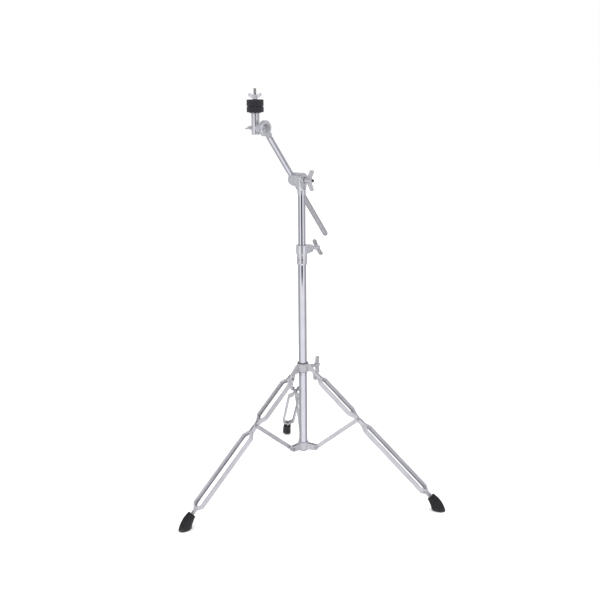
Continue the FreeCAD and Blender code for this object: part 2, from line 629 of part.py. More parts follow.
def rubber_foot():
    """A moulded foot: round where it grips the leg, wider and flat where it stands on the floor."""
    side = Vector(0, 1, 0)
    top = LEG_START + LEG_DOWN * FOOT_TOP
    halfway = math.radians((90 - LEG_ANGLE) * 0.45)
    slanted = Vector(math.cos(halfway), 0, math.sin(halfway))
    middle = Vector(FLOOR_RADIUS - FOOT_MIDDLE_BACK, 0, FOOT_MIDDLE_Z)
    sole = Vector(FLOOR_RADIUS - FOOT_SOLE_BACK, 0, 0)
    sections = [oval(sole, Vector(1, 0, 0), side, FOOT_SOLE_LENGTH / 2, FOOT_SOLE_WIDTH / 2),
                oval(middle, slanted, side, FOOT_MIDDLE_LENGTH / 2, FOOT_MIDDLE_WIDTH / 2),
                oval(top, LEG_OUT, side, FOOT_TOP_D / 2 + 0.1, FOOT_TOP_D / 2)]
    foot = Part.makeLoft(sections, True, False)
    sole_edges = [edge for edge in foot.Edges if edge.BoundBox.ZMax < 0.01]
    foot = foot.makeFillet(FOOT_SOLE_ROUND, sole_edges)
    slot_half = FOOT_PINCH_OUTER + SEAT
    depth = STRIP_DEPTH / 2 + SEAT
    slot = Part.makeBox(STRIP_END + SEAT - FOOT_TOP + 5, 2 * slot_half, 2 * depth,
                        Vector(FOOT_TOP - 5, -slot_half, -depth))
    return foot.cut(on_leg(slot))


# ---------------------------------------------------------------- leg collar
def leg_collar():
    """A casting that slides on the column on a bush. Each leg hangs on one of its three ears."""
    top = COLLAR_BOTTOM + COLLAR_HEIGHT
    ring_r = COLLAR_OD / 2
    body = turned([(0, COLLAR_BOTTOM), (ring_r, COLLAR_BOTTOM), (ring_r, top), (0, top)], [0, 1.5, 2.5, 0])
    tip = PIVOT_RADIUS + EAR_ROUND
    points = [(9, COLLAR_BOTTOM + 1), (PIVOT_RADIUS - EAR_ROUND - 3, COLLAR_BOTTOM + 1),
              (PIVOT_RADIUS - EAR_ROUND, COLLAR_PIVOT_Z - EAR_ROUND), (tip, COLLAR_PIVOT_Z - EAR_ROUND),
              (tip, COLLAR_PIVOT_Z + EAR_ROUND), (ring_r + 8, top - 5), (ring_r - 4, top - 1)]
    ear = upright(points, TONGUE / 2, [0, 5, 4, EAR_ROUND - 0.3, 6, 6, 0])
    ears = [about_column(ear, azimuth) for azimuth in LEG_AZIMUTHS]
    boss_r = COLLAR_BOSS_D / 2
    boss = aimed(turned([(0, 0), (boss_r + 2, 0), (boss_r + 1, ring_r), (boss_r - 1.5, COLLAR_BOSS_REACH),
                         (0, COLLAR_BOSS_REACH)], [0, 0, 3, 2, 0]), (0, 0, COLLAR_BOLT_Z), (1, 0, 0))
    casting = fused([body, about_column(boss, COLLAR_AZIMUTH)] + ears)
    bore = rod(BASE_R + RUN + COLLAR_BUSH_WALL + SEAT, (0, 0, COLLAR_BOTTOM - 5), (0, 0, top + 1))
    lip_room = rod(COLLAR_BUSH_LIP_R + SEAT, (0, 0, COLLAR_BOTTOM - 5), (0, 0, COLLAR_BOTTOM))
    thread = about_column(rod(THREAD_R + RUN, (0, 0, COLLAR_BOLT_Z), (COLLAR_BOSS_REACH + 1, 0, COLLAR_BOLT_Z)),
                          COLLAR_AZIMUTH)
    holes = [about_column(sideways(Part.makeCylinder(PIVOT_BORE_R, 30, Vector(0, 0, -15)), PIVOT_RADIUS,
                                   COLLAR_PIVOT_Z), azimuth) for azimuth in LEG_AZIMUTHS]
    return casting.cut([bore, lip_room, thread] + holes)


def collar_bush():
    """A nylon bush between the collar and the column, with a thin collar at its top and bottom."""
    inner = BASE_R + RUN
    outer = inner + COLLAR_BUSH_WALL
    lip = COLLAR_BUSH_LIP
    top = COLLAR_BOTTOM + COLLAR_HEIGHT + SEAT
    bottom = COLLAR_BOTTOM - SEAT
    lip_r = COLLAR_BUSH_LIP_R
    return turned([(inner, bottom - lip), (lip_r, bottom - lip), (lip_r, bottom), (outer, bottom),
                   (outer, top), (lip_r, top), (lip_r, top + lip), (inner, top + lip)])


def collar_wing_bolt():
    tip = BASE_R + RUN + COLLAR_BUSH_WALL + FACE_GAP
    bolt = big_wing_bolt(COLLAR_BOSS_REACH + FACE_GAP - tip)
    return about_column(aimed(bolt, (COLLAR_BOSS_REACH + FACE_GAP, 0, COLLAR_BOLT_Z), (1, 0, 0)), COLLAR_AZIMUTH)


# ---------------------------------------------------------------- boom bracket and saddle
def bracket_pin_bar(r):
    """In the head frame, a bar across the bracket's sleeve."""
    reach = UPPER_R + SEAT + BRACKET_SLEEVE_WALL
    z = (BRACKET_BOTTOM + BRACKET_SLEEVE_TOP) / 2
    return rod(r, (-reach, 0, z), (reach, 0, z))


def boom_bracket():
    """A casting on the inner tube: a socket, a flared neck and one half of the tilting drum."""
    drum_r = DRUM_D / 2
    sleeve_r = UPPER_R + SEAT + BRACKET_SLEEVE_WALL
    neck = turned([(0, BRACKET_BOTTOM), (sleeve_r, BRACKET_BOTTOM), (sleeve_r, BRACKET_SLEEVE_TOP - 2),
                   (drum_r - 5.5, BRACKET_SLEEVE_TOP + NECK_FLARE), (drum_r - 4.5, BOOM_Z), (0, BOOM_Z)],
                  [0, 0.8, 6, 8, 0, 0])
    keep = Part.makeBox(DRUM_RIGHT - DRUM_SPLIT, 60, 80, Vector(DRUM_SPLIT, -30, BRACKET_BOTTOM))
    boss_r = WASHER_D / 2 + 1
    drum = turned([(0, DRUM_SPLIT), (drum_r, DRUM_SPLIT), (drum_r, DRUM_RIGHT), (boss_r, DRUM_RIGHT + 1.5),
                   (boss_r - 0.5, DRUM_RIGHT + DRUM_BOSS), (0, DRUM_RIGHT + DRUM_BOSS)], [0, 0, 3.5, 1, 1, 0])
    drum = aimed(drum, (0, 0, BOOM_Z), (1, 0, 0))
    low = Part.makeBox(60, 60, BRACKET_SLEEVE_TOP - BRACKET_BOTTOM, Vector(-30, -30, BRACKET_BOTTOM))
    neck_low = neck.common(low)
    casting = fused([neck_low, neck.common(keep), drum])
    socket = rod(UPPER_R + SEAT, (0, 0, BRACKET_BOTTOM - 1), (0, 0, BRACKET_SOCKET_TOP))
    bolt = rod(THREAD_R + RUN, (DRUM_SPLIT - 1, 0, BOOM_Z), (DRUM_RIGHT + DRUM_BOSS + 1, 0, BOOM_Z))
    grooves = teeth(drum_r, drum_r * 0.6)
    grooves.rotate(Vector(0, 0, 0), Vector(0, 0, 1), 180)
    grooves.translate(Vector(DRUM_SPLIT, 0, BOOM_Z))
    return on_head(casting.cut([socket, bolt, bracket_pin_bar(BRACKET_PIN_R + SEAT), grooves]))


def bracket_pin():
    return on_head(bracket_pin_bar(BRACKET_PIN_R))


def boom_saddle():
    """The tilting half of the drum. The arm lies through it and the eye bolt pulls the arm down into it."""
    drum_r = DRUM_D / 2
    split = DRUM_SPLIT - FACE_GAP
    profile = [(0, DRUM_LEFT), (drum_r * 0.5, DRUM_LEFT), (drum_r * 0.82, DRUM_LEFT + 5),
               (drum_r, DRUM_LEFT + 14), (drum_r, split), (0, split)]
    body = aimed(turned(profile, [0, 3, 3, 6, 0, 0]), (0, 0, 0), (1, 0, 0))
    arm = rod(ARM_R + RUN, (-ARM_OFFSET, 0, -DRUM_D), (-ARM_OFFSET, 0, DRUM_D))
    eye_r = EYE_OD / 2 + FACE_GAP
    eye_half = EYE_HEIGHT / 2 + FACE_GAP
    slot_round = rod(eye_r, (-ARM_OFFSET, 0, -eye_half), (-ARM_OFFSET, 0, eye_half))
    slot_mouth = Part.makeBox(DRUM_D, 2 * eye_r, 2 * eye_half, Vector(-ARM_OFFSET - DRUM_D, -eye_r, -eye_half))
    bolt = rod(THREAD_R + RUN, (-ARM_OFFSET, 0, 0), (0, 0, 0))
    grooves = teeth(drum_r, drum_r * 0.6)
    grooves.translate(Vector(split, 0, 0))
    return on_boom(body.cut([arm, slot_round, slot_mouth, bolt, grooves]))


def boom_eye_bolt():
    """A bolt whose eye goes round the arm and whose thread carries the wing nut."""
    eye_r = EYE_OD / 2
    bore_r = ARM_R + RUN
    half = EYE_HEIGHT / 2
    eye = turned([(bore_r, -half), (eye_r, -half), (eye_r, half), (bore_r, half)], [0, 2, 2, 0])
    eye.rotate(Vector(0, 0, 0), Vector(0, 0, 1), 90)
    eye.translate(Vector(-ARM_OFFSET, 0, 0))
    shank = rod(THREAD_R, ((bore_r + eye_r) / 2 - ARM_OFFSET, 0, 0), (EYE_BOLT_END, 0, 0))
    return on_boom(fused([eye, shank]))


def boom_washer():
    start = DRUM_RIGHT + DRUM_BOSS + FACE_GAP
    ring = turned([(THREAD_R + RUN, 0), (WASHER_D / 2, 0), (WASHER_D / 2, WASHER), (THREAD_R + RUN, WASHER)])
    return on_boom(aimed(ring, (start, 0, 0), (1, 0, 0)))


def boom_wing_nut():
    """A large wing nut whose wings stand well out from the drum."""
    start = DRUM_RIGHT + DRUM_BOSS + WASHER + 2 * FACE_GAP
    hub = EYE_BOLT_END - THREAD_SHOWING - start
    wing = wings(BOOM_WING_SPAN, WING_LOBE, hub, WING_HUB_D + 1, hub, WING_SHEET)
    nut = wing.cut(rod(THREAD_R + RUN, (0, 0, -1), (0, 0, hub + 1)))
    return on_head(aimed(nut, (start, 0, BOOM_Z), (1, 0, 0)))


# ---------------------------------------------------------------- boom arm
def boom_arm():
    """A tube that slides through the saddle, with a counterbored upper end for the tilter's stem."""
    tube = pipe(ARM_R, ARM_BORE_R, -ARM_BELOW, ARM_ABOVE)
    tube.translate(Vector(-ARM_OFFSET, 0, 0))
    return on_boom(tube.cut(set_screw_bar(SET_SCREW_R + SEAT)))


def arm_end_cap():
    """A rounded plug in the arm's lower end."""
    r = ARM_BORE_R - SEAT
    top = -ARM_BELOW + END_CAP_PLUG
    under = -ARM_BELOW - SEAT
    rim = ARM_R - 0.2
    cap = turned([(0, under - END_CAP), (rim, under - END_CAP), (rim, under), (r, under), (r, top), (0, top)],
                 [0, END_CAP - 0.4, 0, 0, 0.8, 0])
    cap.translate(Vector(-ARM_OFFSET, 0, 0))
    return on_boom(cap)


def set_screw_bar(r):
    """In the boom frame, a short bar through the arm's wall and into the tilter's stem."""
    start = -ARM_OFFSET + ARM_BORE_R - SET_SCREW_DEPTH
    end = -ARM_OFFSET + ARM_R + SET_SCREW_PROUD
    return rod(r, (start, 0, SET_SCREW_ALONG), (end, 0, SET_SCREW_ALONG))


def tilter_set_screw():
    """A hexagon-socket set screw."""
    screw = set_screw_bar(SET_SCREW_R)
    end = -ARM_OFFSET + ARM_R + SET_SCREW_PROUD
    turns = [math.radians(60 * i) for i in range(6)]
    key = [(SET_SCREW_KEY_R * math.cos(turn), SET_SCREW_KEY_R * math.sin(turn)) for turn in turns]
    socket = aimed(plate(key, -SET_SCREW_KEY_DEPTH, 1.0), (end, 0, SET_SCREW_ALONG), (1, 0, 0))
    return on_boom(screw.cut(socket))


def tilter_base():
    """The fixed half of the tilter: a toothed disc on a stem that is held in the arm's upper end."""
    r = TILTER_D / 2
    disc = turned([(0, TILTER_SPLIT), (r, TILTER_SPLIT), (r, TILTER_FACE), (0, TILTER_FACE)], [0, 0.4, 2.2, 0])
    disc = aimed(disc, (0, 0, TILTER_ALONG), (1, 0, 0))
    stem_r = ARM_BORE_R - SEAT
    edge = TILTER_ALONG - r
    plug = rod(stem_r, (-ARM_OFFSET, 0, ARM_ABOVE - STEM_INSIDE), (-ARM_OFFSET, 0, ARM_ABOVE + SEAT))
    collar = rod(ARM_R - 0.3, (-ARM_OFFSET, 0, ARM_ABOVE + SEAT), (-ARM_OFFSET, 0, edge - FACE_GAP))
    neck_low = ARM_ABOVE + 1
    neck_high = edge + r * 0.5
    neck = plate([(TILTER_SPLIT, neck_low), (TILTER_FACE - 0.6, neck_low), (TILTER_FACE - 0.6, neck_high),
                  (TILTER_SPLIT, neck_high)], -TILTER_NECK / 2, TILTER_NECK / 2, 0.4)
    neck.rotate(Vector(0, 0, 0), Vector(1, 0, 0), 90)
    shape = fused([disc, plug, collar, neck])
    grooves = teeth(r, r * 0.6)
    grooves.rotate(Vector(0, 0, 0), Vector(0, 0, 1), 180)
    grooves.translate(Vector(TILTER_SPLIT, 0, TILTER_ALONG))
    bolt = rod(SMALL_THREAD_R + RUN, (TILTER_SPLIT - 1, 0, TILTER_ALONG), (TILTER_FACE + 1, 0, TILTER_ALONG))
    spring_pocket = rod(SPRING_POCKET_R, (TILTER_SPLIT - 1, 0, TILTER_ALONG),
                        (TILTER_SPLIT + SPRING_HALF, 0, TILTER_ALONG))
    return on_boom(shape.cut([grooves, bolt, spring_pocket, set_screw_bar(SET_SCREW_R + SEAT)]))


def tilter_spring():
    """A small coil spring round the bolt that lifts the toothed discs apart when the wing nut is slackened."""
    room = 2 * SPRING_HALF + FACE_GAP - 2 * SPRING_WIRE_R - 0.6
    turns = 2.0
    path = Part.Wire(Part.makeHelix(room / turns, room, SPRING_R).Edges)
    section = Part.Wire([Part.makeCircle(SPRING_WIRE_R, Vector(SPRING_R, 0, 0), Vector(0, 1, 0))])
    coil = path.makePipeShell([section], True, True)
    coil = aimed(coil, (TILTER_SPLIT - FACE_GAP - SPRING_HALF + SPRING_WIRE_R + 0.3, TILTER_Y, TILTER_Z), (1, 0, 0))
    return on_head(coil)


def tilter_bolt():
    """A bolt with a wide domed head. It passes through both discs and the post."""
    end = -(POST_OFFSET + POST_D / 2 + SMALL_HUB + 6)
    head_r = BOLT_HEAD_D / 2
    top = TILTER_FACE + BOLT_HEAD
    head = turned([(0, TILTER_FACE + SEAT), (head_r, TILTER_FACE + SEAT), (head_r - 1, top), (0, top)], [0, 0.8, 2, 0])
    head = aimed(head, (0, 0, TILTER_ALONG), (1, 0, 0))
    shank = rod(SMALL_THREAD_R, (end, 0, TILTER_ALONG), (TILTER_FACE + BOLT_HEAD / 2, 0, TILTER_ALONG))
    return on_boom(fused([head, shank]))


def tilter_post():
    """The moving half of the tilter: a toothed disc and a boss, cast in one with the upright post."""
    r = TILTER_D / 2
    front = TILTER_SPLIT - FACE_GAP
    post_front = -POST_OFFSET + POST_D / 2 - 4
    side_on = turned([(0, post_front), (10.0, post_front), (12.0, TILTER_REAR - 3), (r - 2, TILTER_REAR),
                      (r, TILTER_REAR + 0.8), (r, front), (0, front)], [0, 0, 3, 1.5, 0.4, 0.2, 0])
    side_on = aimed(side_on, (0, 0, 0), (1, 0, 0))
    post_r = POST_D / 2
    post = turned([(0, -POST_BOTTOM), (post_r, -POST_BOTTOM), (post_r, POST_TOP), (0, POST_TOP)], [0, 2.5, 1.0, 0])
    post.translate(Vector(-POST_OFFSET, 0, 0))
    shape = fused([side_on, post])
    bolt = rod(SMALL_THREAD_R + RUN, (-POST_OFFSET - POST_D, 0, 0), (0, 0, 0))
    spring_pocket = rod(SPRING_POCKET_R, (front - SPRING_HALF, 0, 0), (front + 1, 0, 0))
    rod_socket = rod(ROD_D / 2 + SEAT, (-POST_OFFSET, 0, ROD_FOOT), (-POST_OFFSET, 0, POST_TOP + 1))
    grooves = teeth(r, r * 0.6)
    grooves.translate(Vector(front, 0, 0))
    shape = shape.cut([bolt, spring_pocket, rod_socket, grooves])
    shape.translate(Vector(0, TILTER_Y, TILTER_Z))
    return on_head(shape)


def on_post(shape):
    """From a frame on the cymbal rod's axis, with Z = 0 at the tilter's axis, to the stand's."""
    moved = shape.copy()
    moved.translate(Vector(-POST_OFFSET, TILTER_Y, TILTER_Z))
    return on_head(moved)


def tilter_wing_nut():
    start = -(POST_OFFSET + POST_D / 2 + FACE_GAP)
    wing = wings(SMALL_SPAN, SMALL_LOBE, SMALL_HUB * 0.9, SMALL_HUB_D, SMALL_HUB, WING_SHEET * 0.75)
    nut = wing.cut(rod(SMALL_THREAD_R + RUN, (0, 0, -1), (0, 0, SMALL_HUB + 1)))
    nut.rotate(Vector(0, 0, 0), Vector(0, 0, 1), TILTER_WING_TURN)
    return on_head(aimed(nut, (start, TILTER_Y, TILTER_Z), (-1, 0, 0)))


# ---------------------------------------------------------------- cymbal seat
def cymbal_rod():
    """A threaded rod screwed into the post."""
    r = ROD_D / 2
    return on_post(turned([(0, ROD_FOOT), (r, ROD_FOOT), (r, ROD_TOP), (0, ROD_TOP)], [0, 0.6, 1.0, 0]))


def seat_washer():
    r = SEAT_WASHER_D / 2
    bore = ROD_D / 2 + RUN
    low = POST_TOP + SEAT
    return on_post(turned([(bore, low), (r, low), (r, low + SEAT_WASHER), (bore, low + SEAT_WASHER)],
                          [0, 0.5, 0.5, 0]))


def cymbal_sleeve():
    """A plastic sleeve round the rod, so that a cymbal's hole never touches the thread."""
    inner = ROD_D / 2 + RUN
    outer = SLEEVE_OD / 2
    low = SEAT_TOP + SEAT
    return on_post(turned([(inner, low), (outer, low), (outer, low + SLEEVE_LENGTH), (inner, low + SLEEVE_LENGTH)],
                          [0, 0, 0.5, 0]))


def felt(bottom, height):
    """A round felt pad with soft edges."""
    r = FELT_D / 2
    bore = SLEEVE_OD / 2 + RUN
    return on_post(turned([(bore, bottom), (r, bottom), (r, bottom + height), (bore, bottom + height)],
                          [0, 1.6, 1.6, 0]))


def cymbal_wing_nut():
    wing = wings(SMALL_SPAN, SMALL_LOBE, SMALL_HUB * 1.35, SMALL_HUB_D + 1, SMALL_HUB + 2, WING_SHEET * 0.75)
    nut = wing.cut(rod(ROD_D / 2 + RUN, (0, 0, -1), (0, 0, SMALL_HUB + 4)))
    nut.rotate(Vector(0, 0, 0), Vector(0, 0, 1), TOP_WING_TURN)
    nut.translate(Vector(0, 0, STACK_TOP + FACE_GAP))
    return on_post(nut)


# ---------------------------------------------------------------- write every sub-part
def all_parts():
    """Every node's name and shape."""
    parts = {
        "base_tube": base_tube(),
        "base_tube_plug": base_tube_plug(),
        "spreader_hub": spreader_hub(),
        "hub_pin": hub_pin(),
        "hub_rivets": hub_rivets(),
        "height_clamp": height_clamp(),
        "clamp_bush": clamp_bush(),
        "clamp_rivets": clamp_rivet_shape(),
        "clamp_wing_bolt": clamp_wing_bolt(),
        "leg_collar": leg_collar(),
        "collar_bush": collar_bush(),
        "collar_wing_bolt": collar_wing_bolt(),
        "upper_tube": upper_tube(),
        "upper_tube_guide": upper_tube_guide(),
        "boom_bracket": boom_bracket(),
        "bracket_pin": bracket_pin(),
        "boom_saddle": boom_saddle(),
        "boom_eye_bolt": boom_eye_bolt(),
        "boom_washer": boom_washer(),
        "boom_wing_nut": boom_wing_nut(),
        "boom_arm": boom_arm(),
        "arm_end_cap": arm_end_cap(),
        "tilter_base": tilter_base(),
        "tilter_set_screw": tilter_set_screw(),
        "tilter_bolt": tilter_bolt(),
        "tilter_spring": tilter_spring(),
        "tilter_post": tilter_post(),
        "tilter_wing_nut": tilter_wing_nut(),
        "cymbal_rod": cymbal_rod(),
        "seat_washer": seat_washer(),
        "cymbal_sleeve": cymbal_sleeve(),
        "lower_felt": felt(LOWER_FELT_BOTTOM, LOWER_FELT),
        "upper_felt": felt(UPPER_FELT_BOTTOM, UPPER_FELT),
        "cymbal_wing_nut": cymbal_wing_nut(),
    }
    left, right, rivets, foot, brace = leg_strip(1), leg_strip(-1), leg_rivets(), rubber_foot(), stay()
    for number, azimuth in enumerate(LEG_AZIMUTHS, start=1):
        parts[f"leg_{number}_left"] = about_column(left, azimuth)
        parts[f"leg_{number}_right"] = about_column(right, azimuth)
        parts[f"leg_{number}_rivets"] = about_column(rivets, azimuth)
        parts[f"leg_{number}_foot"] = about_column(foot, azimuth)
        parts[f"stay_{number}"] = about_column(brace, azimuth)
    return parts


if __name__ == "__main__":
    os.makedirs("parts", exist_ok=True)
    for name, shape in all_parts().items():
        solids = shape.Solids
        box = shape.BoundBox
        print(f"{name:18s} {len(solids)} solids, valid {shape.isValid()}, "
              f"{box.XLength:.1f} x {box.YLength:.1f} x {box.ZLength:.1f}, volume {shape.Volume:.0f}")
        shape.exportStep(f"parts/{name}.step")
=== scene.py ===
# %% [markdown]
# # Finishing a cymbal boom stand
# A drummer's cymbal stand is mostly bright tube: three folding legs, two telescoping tubes and a tilting arm.
# The engineering model already gives every solid part its true size and place, so it is loaded first and
# never moved. This lesson adds the finishes, and remakes the few pieces whose look depends on shape: the two
# felts, the cast wing nuts and the screw threads.
# %% Load the frame and keep its size
import json
import math

import bmesh
import bpy
from mathutils import Matrix, Vector, noise


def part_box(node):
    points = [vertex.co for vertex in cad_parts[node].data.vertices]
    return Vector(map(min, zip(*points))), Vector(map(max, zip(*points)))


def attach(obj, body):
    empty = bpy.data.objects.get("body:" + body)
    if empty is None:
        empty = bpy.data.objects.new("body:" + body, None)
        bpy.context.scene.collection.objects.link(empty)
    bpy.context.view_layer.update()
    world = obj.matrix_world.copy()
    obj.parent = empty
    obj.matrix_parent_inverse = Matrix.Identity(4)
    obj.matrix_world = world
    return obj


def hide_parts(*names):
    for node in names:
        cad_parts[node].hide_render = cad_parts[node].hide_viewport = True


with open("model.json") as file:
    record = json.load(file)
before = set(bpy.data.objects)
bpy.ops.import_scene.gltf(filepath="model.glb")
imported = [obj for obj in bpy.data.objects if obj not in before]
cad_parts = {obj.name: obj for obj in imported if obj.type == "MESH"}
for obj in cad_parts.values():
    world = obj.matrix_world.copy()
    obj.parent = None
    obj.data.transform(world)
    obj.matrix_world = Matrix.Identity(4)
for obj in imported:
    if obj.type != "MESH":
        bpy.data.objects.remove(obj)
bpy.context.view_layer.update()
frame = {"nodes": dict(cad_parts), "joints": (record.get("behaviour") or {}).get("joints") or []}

MM = 0.001
NODES = frame["nodes"]
JOINTS = {joint["name"]: joint for joint in frame["joints"]}

# %% [markdown]
# ## Where things are
# Nearly every remade piece turns or slides about some joint's axis, so the joint is the best place to hang it
# from. A joint gives a point and a direction. A wing nut also needs to know which way its wings lie: that is
# the direction, square to the axis, in which the part spreads furthest, and it can be measured from the part.
# %% Read an axis and measure a spread
def joint_line(name):
    """The point and the unit direction of a joint's axis, in metres."""
    joint = JOINTS[name]
    return Vector(joint["pos_m"]), Vector(joint["axis"]).normalized()


def along_and_out(point, origin, axis):
    """How far a point lies along an axis, and how far out from it."""
    offset = point - origin
    along = offset.dot(axis)
    return along, (offset - axis * along).length


def reach(node, origin, axis):
    """Lowest and highest place along an axis, and smallest and largest radius about it, of a CAD node."""
    found = [along_and_out(vertex.co, origin, axis) for vertex in NODES[node].data.vertices]
    alongs = [pair[0] for pair in found]
    outs = [pair[1] for pair in found]
    return min(alongs), max(alongs), min(outs), max(outs)


def middle_of(node):
    """The middle of a node's box; for a straight tube it lies on the tube's own axis."""
    low, high = (Vector(corner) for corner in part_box(node))
    return (low + high) / 2


for name in ("boom_nut_turn", "cymbal_nut_turn", "tilter_nut_turn"):
    point, direction = joint_line(name)
    print(name, [round(value / MM, 1) for value in point], [round(value, 3) for value in direction])

# %% [markdown]
# ## The camera
# A stand this tall is pictured from a few metres away with a slightly long lens, from a little above the middle
# and tipped down, so that the feet spread out in a clear triangle. The lens has no blur and no shift.
# %% Place the camera
CAMERA_PLACE = (0.0, -2.48195, 1.24954)
CAMERA_PITCH = 0.2544
CAMERA_ROLL = -0.008
CAMERA_YAW = 0.0028
LENS = 51.894

camera_data = bpy.data.cameras.new("studio_camera")
camera_data.lens = LENS
camera_data.sensor_width = 36.0
camera_data.clip_start = 0.02
camera = bpy.data.objects.new("studio_camera", camera_data)
bpy.context.scene.collection.objects.link(camera)
turned_down = Matrix.Rotation(math.pi / 2 - CAMERA_PITCH, 4, "X")
yawed = Matrix.Rotation(CAMERA_YAW, 4, "Z")
rolled = Matrix.Rotation(CAMERA_ROLL, 4, "Z")
camera.matrix_world = Matrix.Translation(CAMERA_PLACE) @ yawed @ turned_down @ rolled
bpy.context.scene.camera = camera
print("camera", CAMERA_PLACE, "lens", LENS, "mm")

# %% [markdown]
# ## Small helpers for shader nodes
# Materials here are networks of small nodes. Two helpers keep the cells readable: one adds a node and sets
# what it is told, and one wires two sockets. A maths helper joins both, since masks are mostly arithmetic.
# %% Node helpers
def add(tree, kind, inputs=None, **settings):
    """Adds a shader node, sets its options, and gives its sockets numbers or links."""
    made = tree.nodes.new(kind)
    for key, value in settings.items():
        setattr(made, key, value)
    for key, value in (inputs or {}).items():
        if isinstance(value, bpy.types.NodeSocket):
            tree.links.new(value, made.inputs[key])
        else:
            made.inputs[key].default_value = value
    return made


def maths(tree, operation, first, second=0.0, third=0.0, clamp=False):
    """One Math node; each operand is a number or another node's output."""
    made = add(tree, "ShaderNodeMath", {0: first, 1: second, 2: third}, operation=operation, use_clamp=clamp)
    return made.outputs[0]


def spread(tree, value, low, high, to_low=0.0, to_high=1.0):
    """Maps a value from one range to another, held at the ends."""
    made = add(tree, "ShaderNodeMapRange", {0: value, 1: low, 2: high, 3: to_low, 4: to_high})
    made.interpolation_type = "SMOOTHSTEP"
    return made.outputs[0]


def mixed(tree, factor, first, second):
    """Mixes two colours by a mask."""
    made = add(tree, "ShaderNodeMix", {0: factor, 6: first, 7: second}, data_type="RGBA")
    return made.outputs[2]


def new_group(name, inputs, outputs):
    """An empty shader node group with named sockets, and its inner input and output nodes."""
    group = bpy.data.node_groups.new(name, "ShaderNodeTree")
    for label, kind, value in inputs:
        socket = group.interface.new_socket(name=label, in_out="INPUT", socket_type=kind)
        if value is not None:
            socket.default_value = value
    for label, kind in outputs:
        group.interface.new_socket(name=label, in_out="OUTPUT", socket_type=kind)
    return group, group.nodes.new("NodeGroupInput"), group.nodes.new("NodeGroupOutput")


def group_node(tree, group, inputs):
    """Places a node group in a tree and gives its named inputs."""
    made = tree.nodes.new("ShaderNodeGroup")
    made.node_tree = group
    for label, value in inputs.items():
        if isinstance(value, bpy.types.NodeSocket):
            tree.links.new(value, made.inputs[label])
        else:
            made.inputs[label].default_value = value
    return made


FLOAT, VECTOR, COLOUR = "NodeSocketFloat", "NodeSocketVector", "NodeSocketColor"

# %% [markdown]
# ## The studio
# Polished metal has hardly any colour of its own: it shows the room. A tube looks round only if the room
# changes from bright in front to greyer at the sides, and a thin dark line down its middle is the camera's
# own dark corner of the room. So the room is built first. One small group works out how bright the room is
# in each direction, and both the sky and the floor's reflection use it, so that they agree at the horizon.
# %% Brightness of the room by direction
def build_room_tone():
    """Bright in front, grey at the sides, light again behind, from a direction or a place on the floor."""
    group, inside, out = new_group("Room tone", [("Direction", VECTOR, None)], [("Tone", COLOUR)])
    flat = add(group, "ShaderNodeVectorMath", {0: inside.outputs[0], 1: (1, 1, 0)}, operation="MULTIPLY")
    unit = add(group, "ShaderNodeVectorMath", {0: flat.outputs[0]}, operation="NORMALIZE")
    parts = add(group, "ShaderNodeSeparateXYZ", {0: unit.outputs[0]})
    front = spread(group, parts.outputs["Y"], -0.62, -0.40, 1.0, 0.0)
    back = spread(group, parts.outputs["Y"], 0.93, 0.99)
    side = mixed(group, front, (0.50, 0.50, 0.53, 1), (1.06, 1.06, 1.10, 1))
    tone = mixed(group, back, side, (0.80, 0.80, 0.83, 1))
    group.links.new(tone, out.inputs[0])
    return group


ROOM_TONE = build_room_tone()
print("room tone group has", len(ROOM_TONE.nodes), "nodes")

# %% [markdown]
# The sky is plain white where the camera looks straight at it, as a lit paper sweep is. Metal sees the room's
# tone, with a dim ceiling: that puts the dark line along the top of every casting and bent tube. Anything
# dull is lit evenly, so that felt and rubber show their own tone.
# %% The sky
def build_sky():
    """The world: white behind the object, and a soft room for reflections and light."""
    world = bpy.data.worlds.new("studio_room")
    bpy.context.scene.world = world
    world.use_nodes = True
    tree = world.node_tree
    tree.nodes.clear()
    place = add(tree, "ShaderNodeTexCoord")
    tone = add(tree, "ShaderNodeGroup", node_tree=ROOM_TONE)
    tree.links.new(place.outputs["Generated"], tone.inputs[0])
    height = add(tree, "ShaderNodeSeparateXYZ", {0: place.outputs["Generated"]}).outputs["Z"]
    overhead = spread(tree, height, 0.42, 0.78)
    room = mixed(tree, overhead, tone.outputs[0], (0.20, 0.20, 0.22, 1))
    sees = add(tree, "ShaderNodeLightPath")
    dull = mixed(tree, sees.outputs["Is Glossy Ray"], (1.08, 1.08, 1.08, 1), room)
    colour = mixed(tree, sees.outputs["Is Camera Ray"], dull, (1, 1, 1, 1))
    glow = add(tree, "ShaderNodeBackground", {0: colour, 1: 1.0})
    shown = add(tree, "ShaderNodeOutputWorld")
    tree.links.new(glow.outputs[0], shown.inputs[0])


build_sky()
bpy.context.scene.view_settings.view_transform = "Standard"
print("sky built")

# %% [markdown]
# The floor is a single sheet that curves nowhere in sight: at this brightness it meets the white sky without a
# line. It takes faint shadows from the feet. In reflections it gives the room's tone, so the tubes' lower
# ends keep the same grey sides as their upper ends.
# %% The floor
FLOOR_HALF = 9.0
FLOOR_SINK = 0.0004


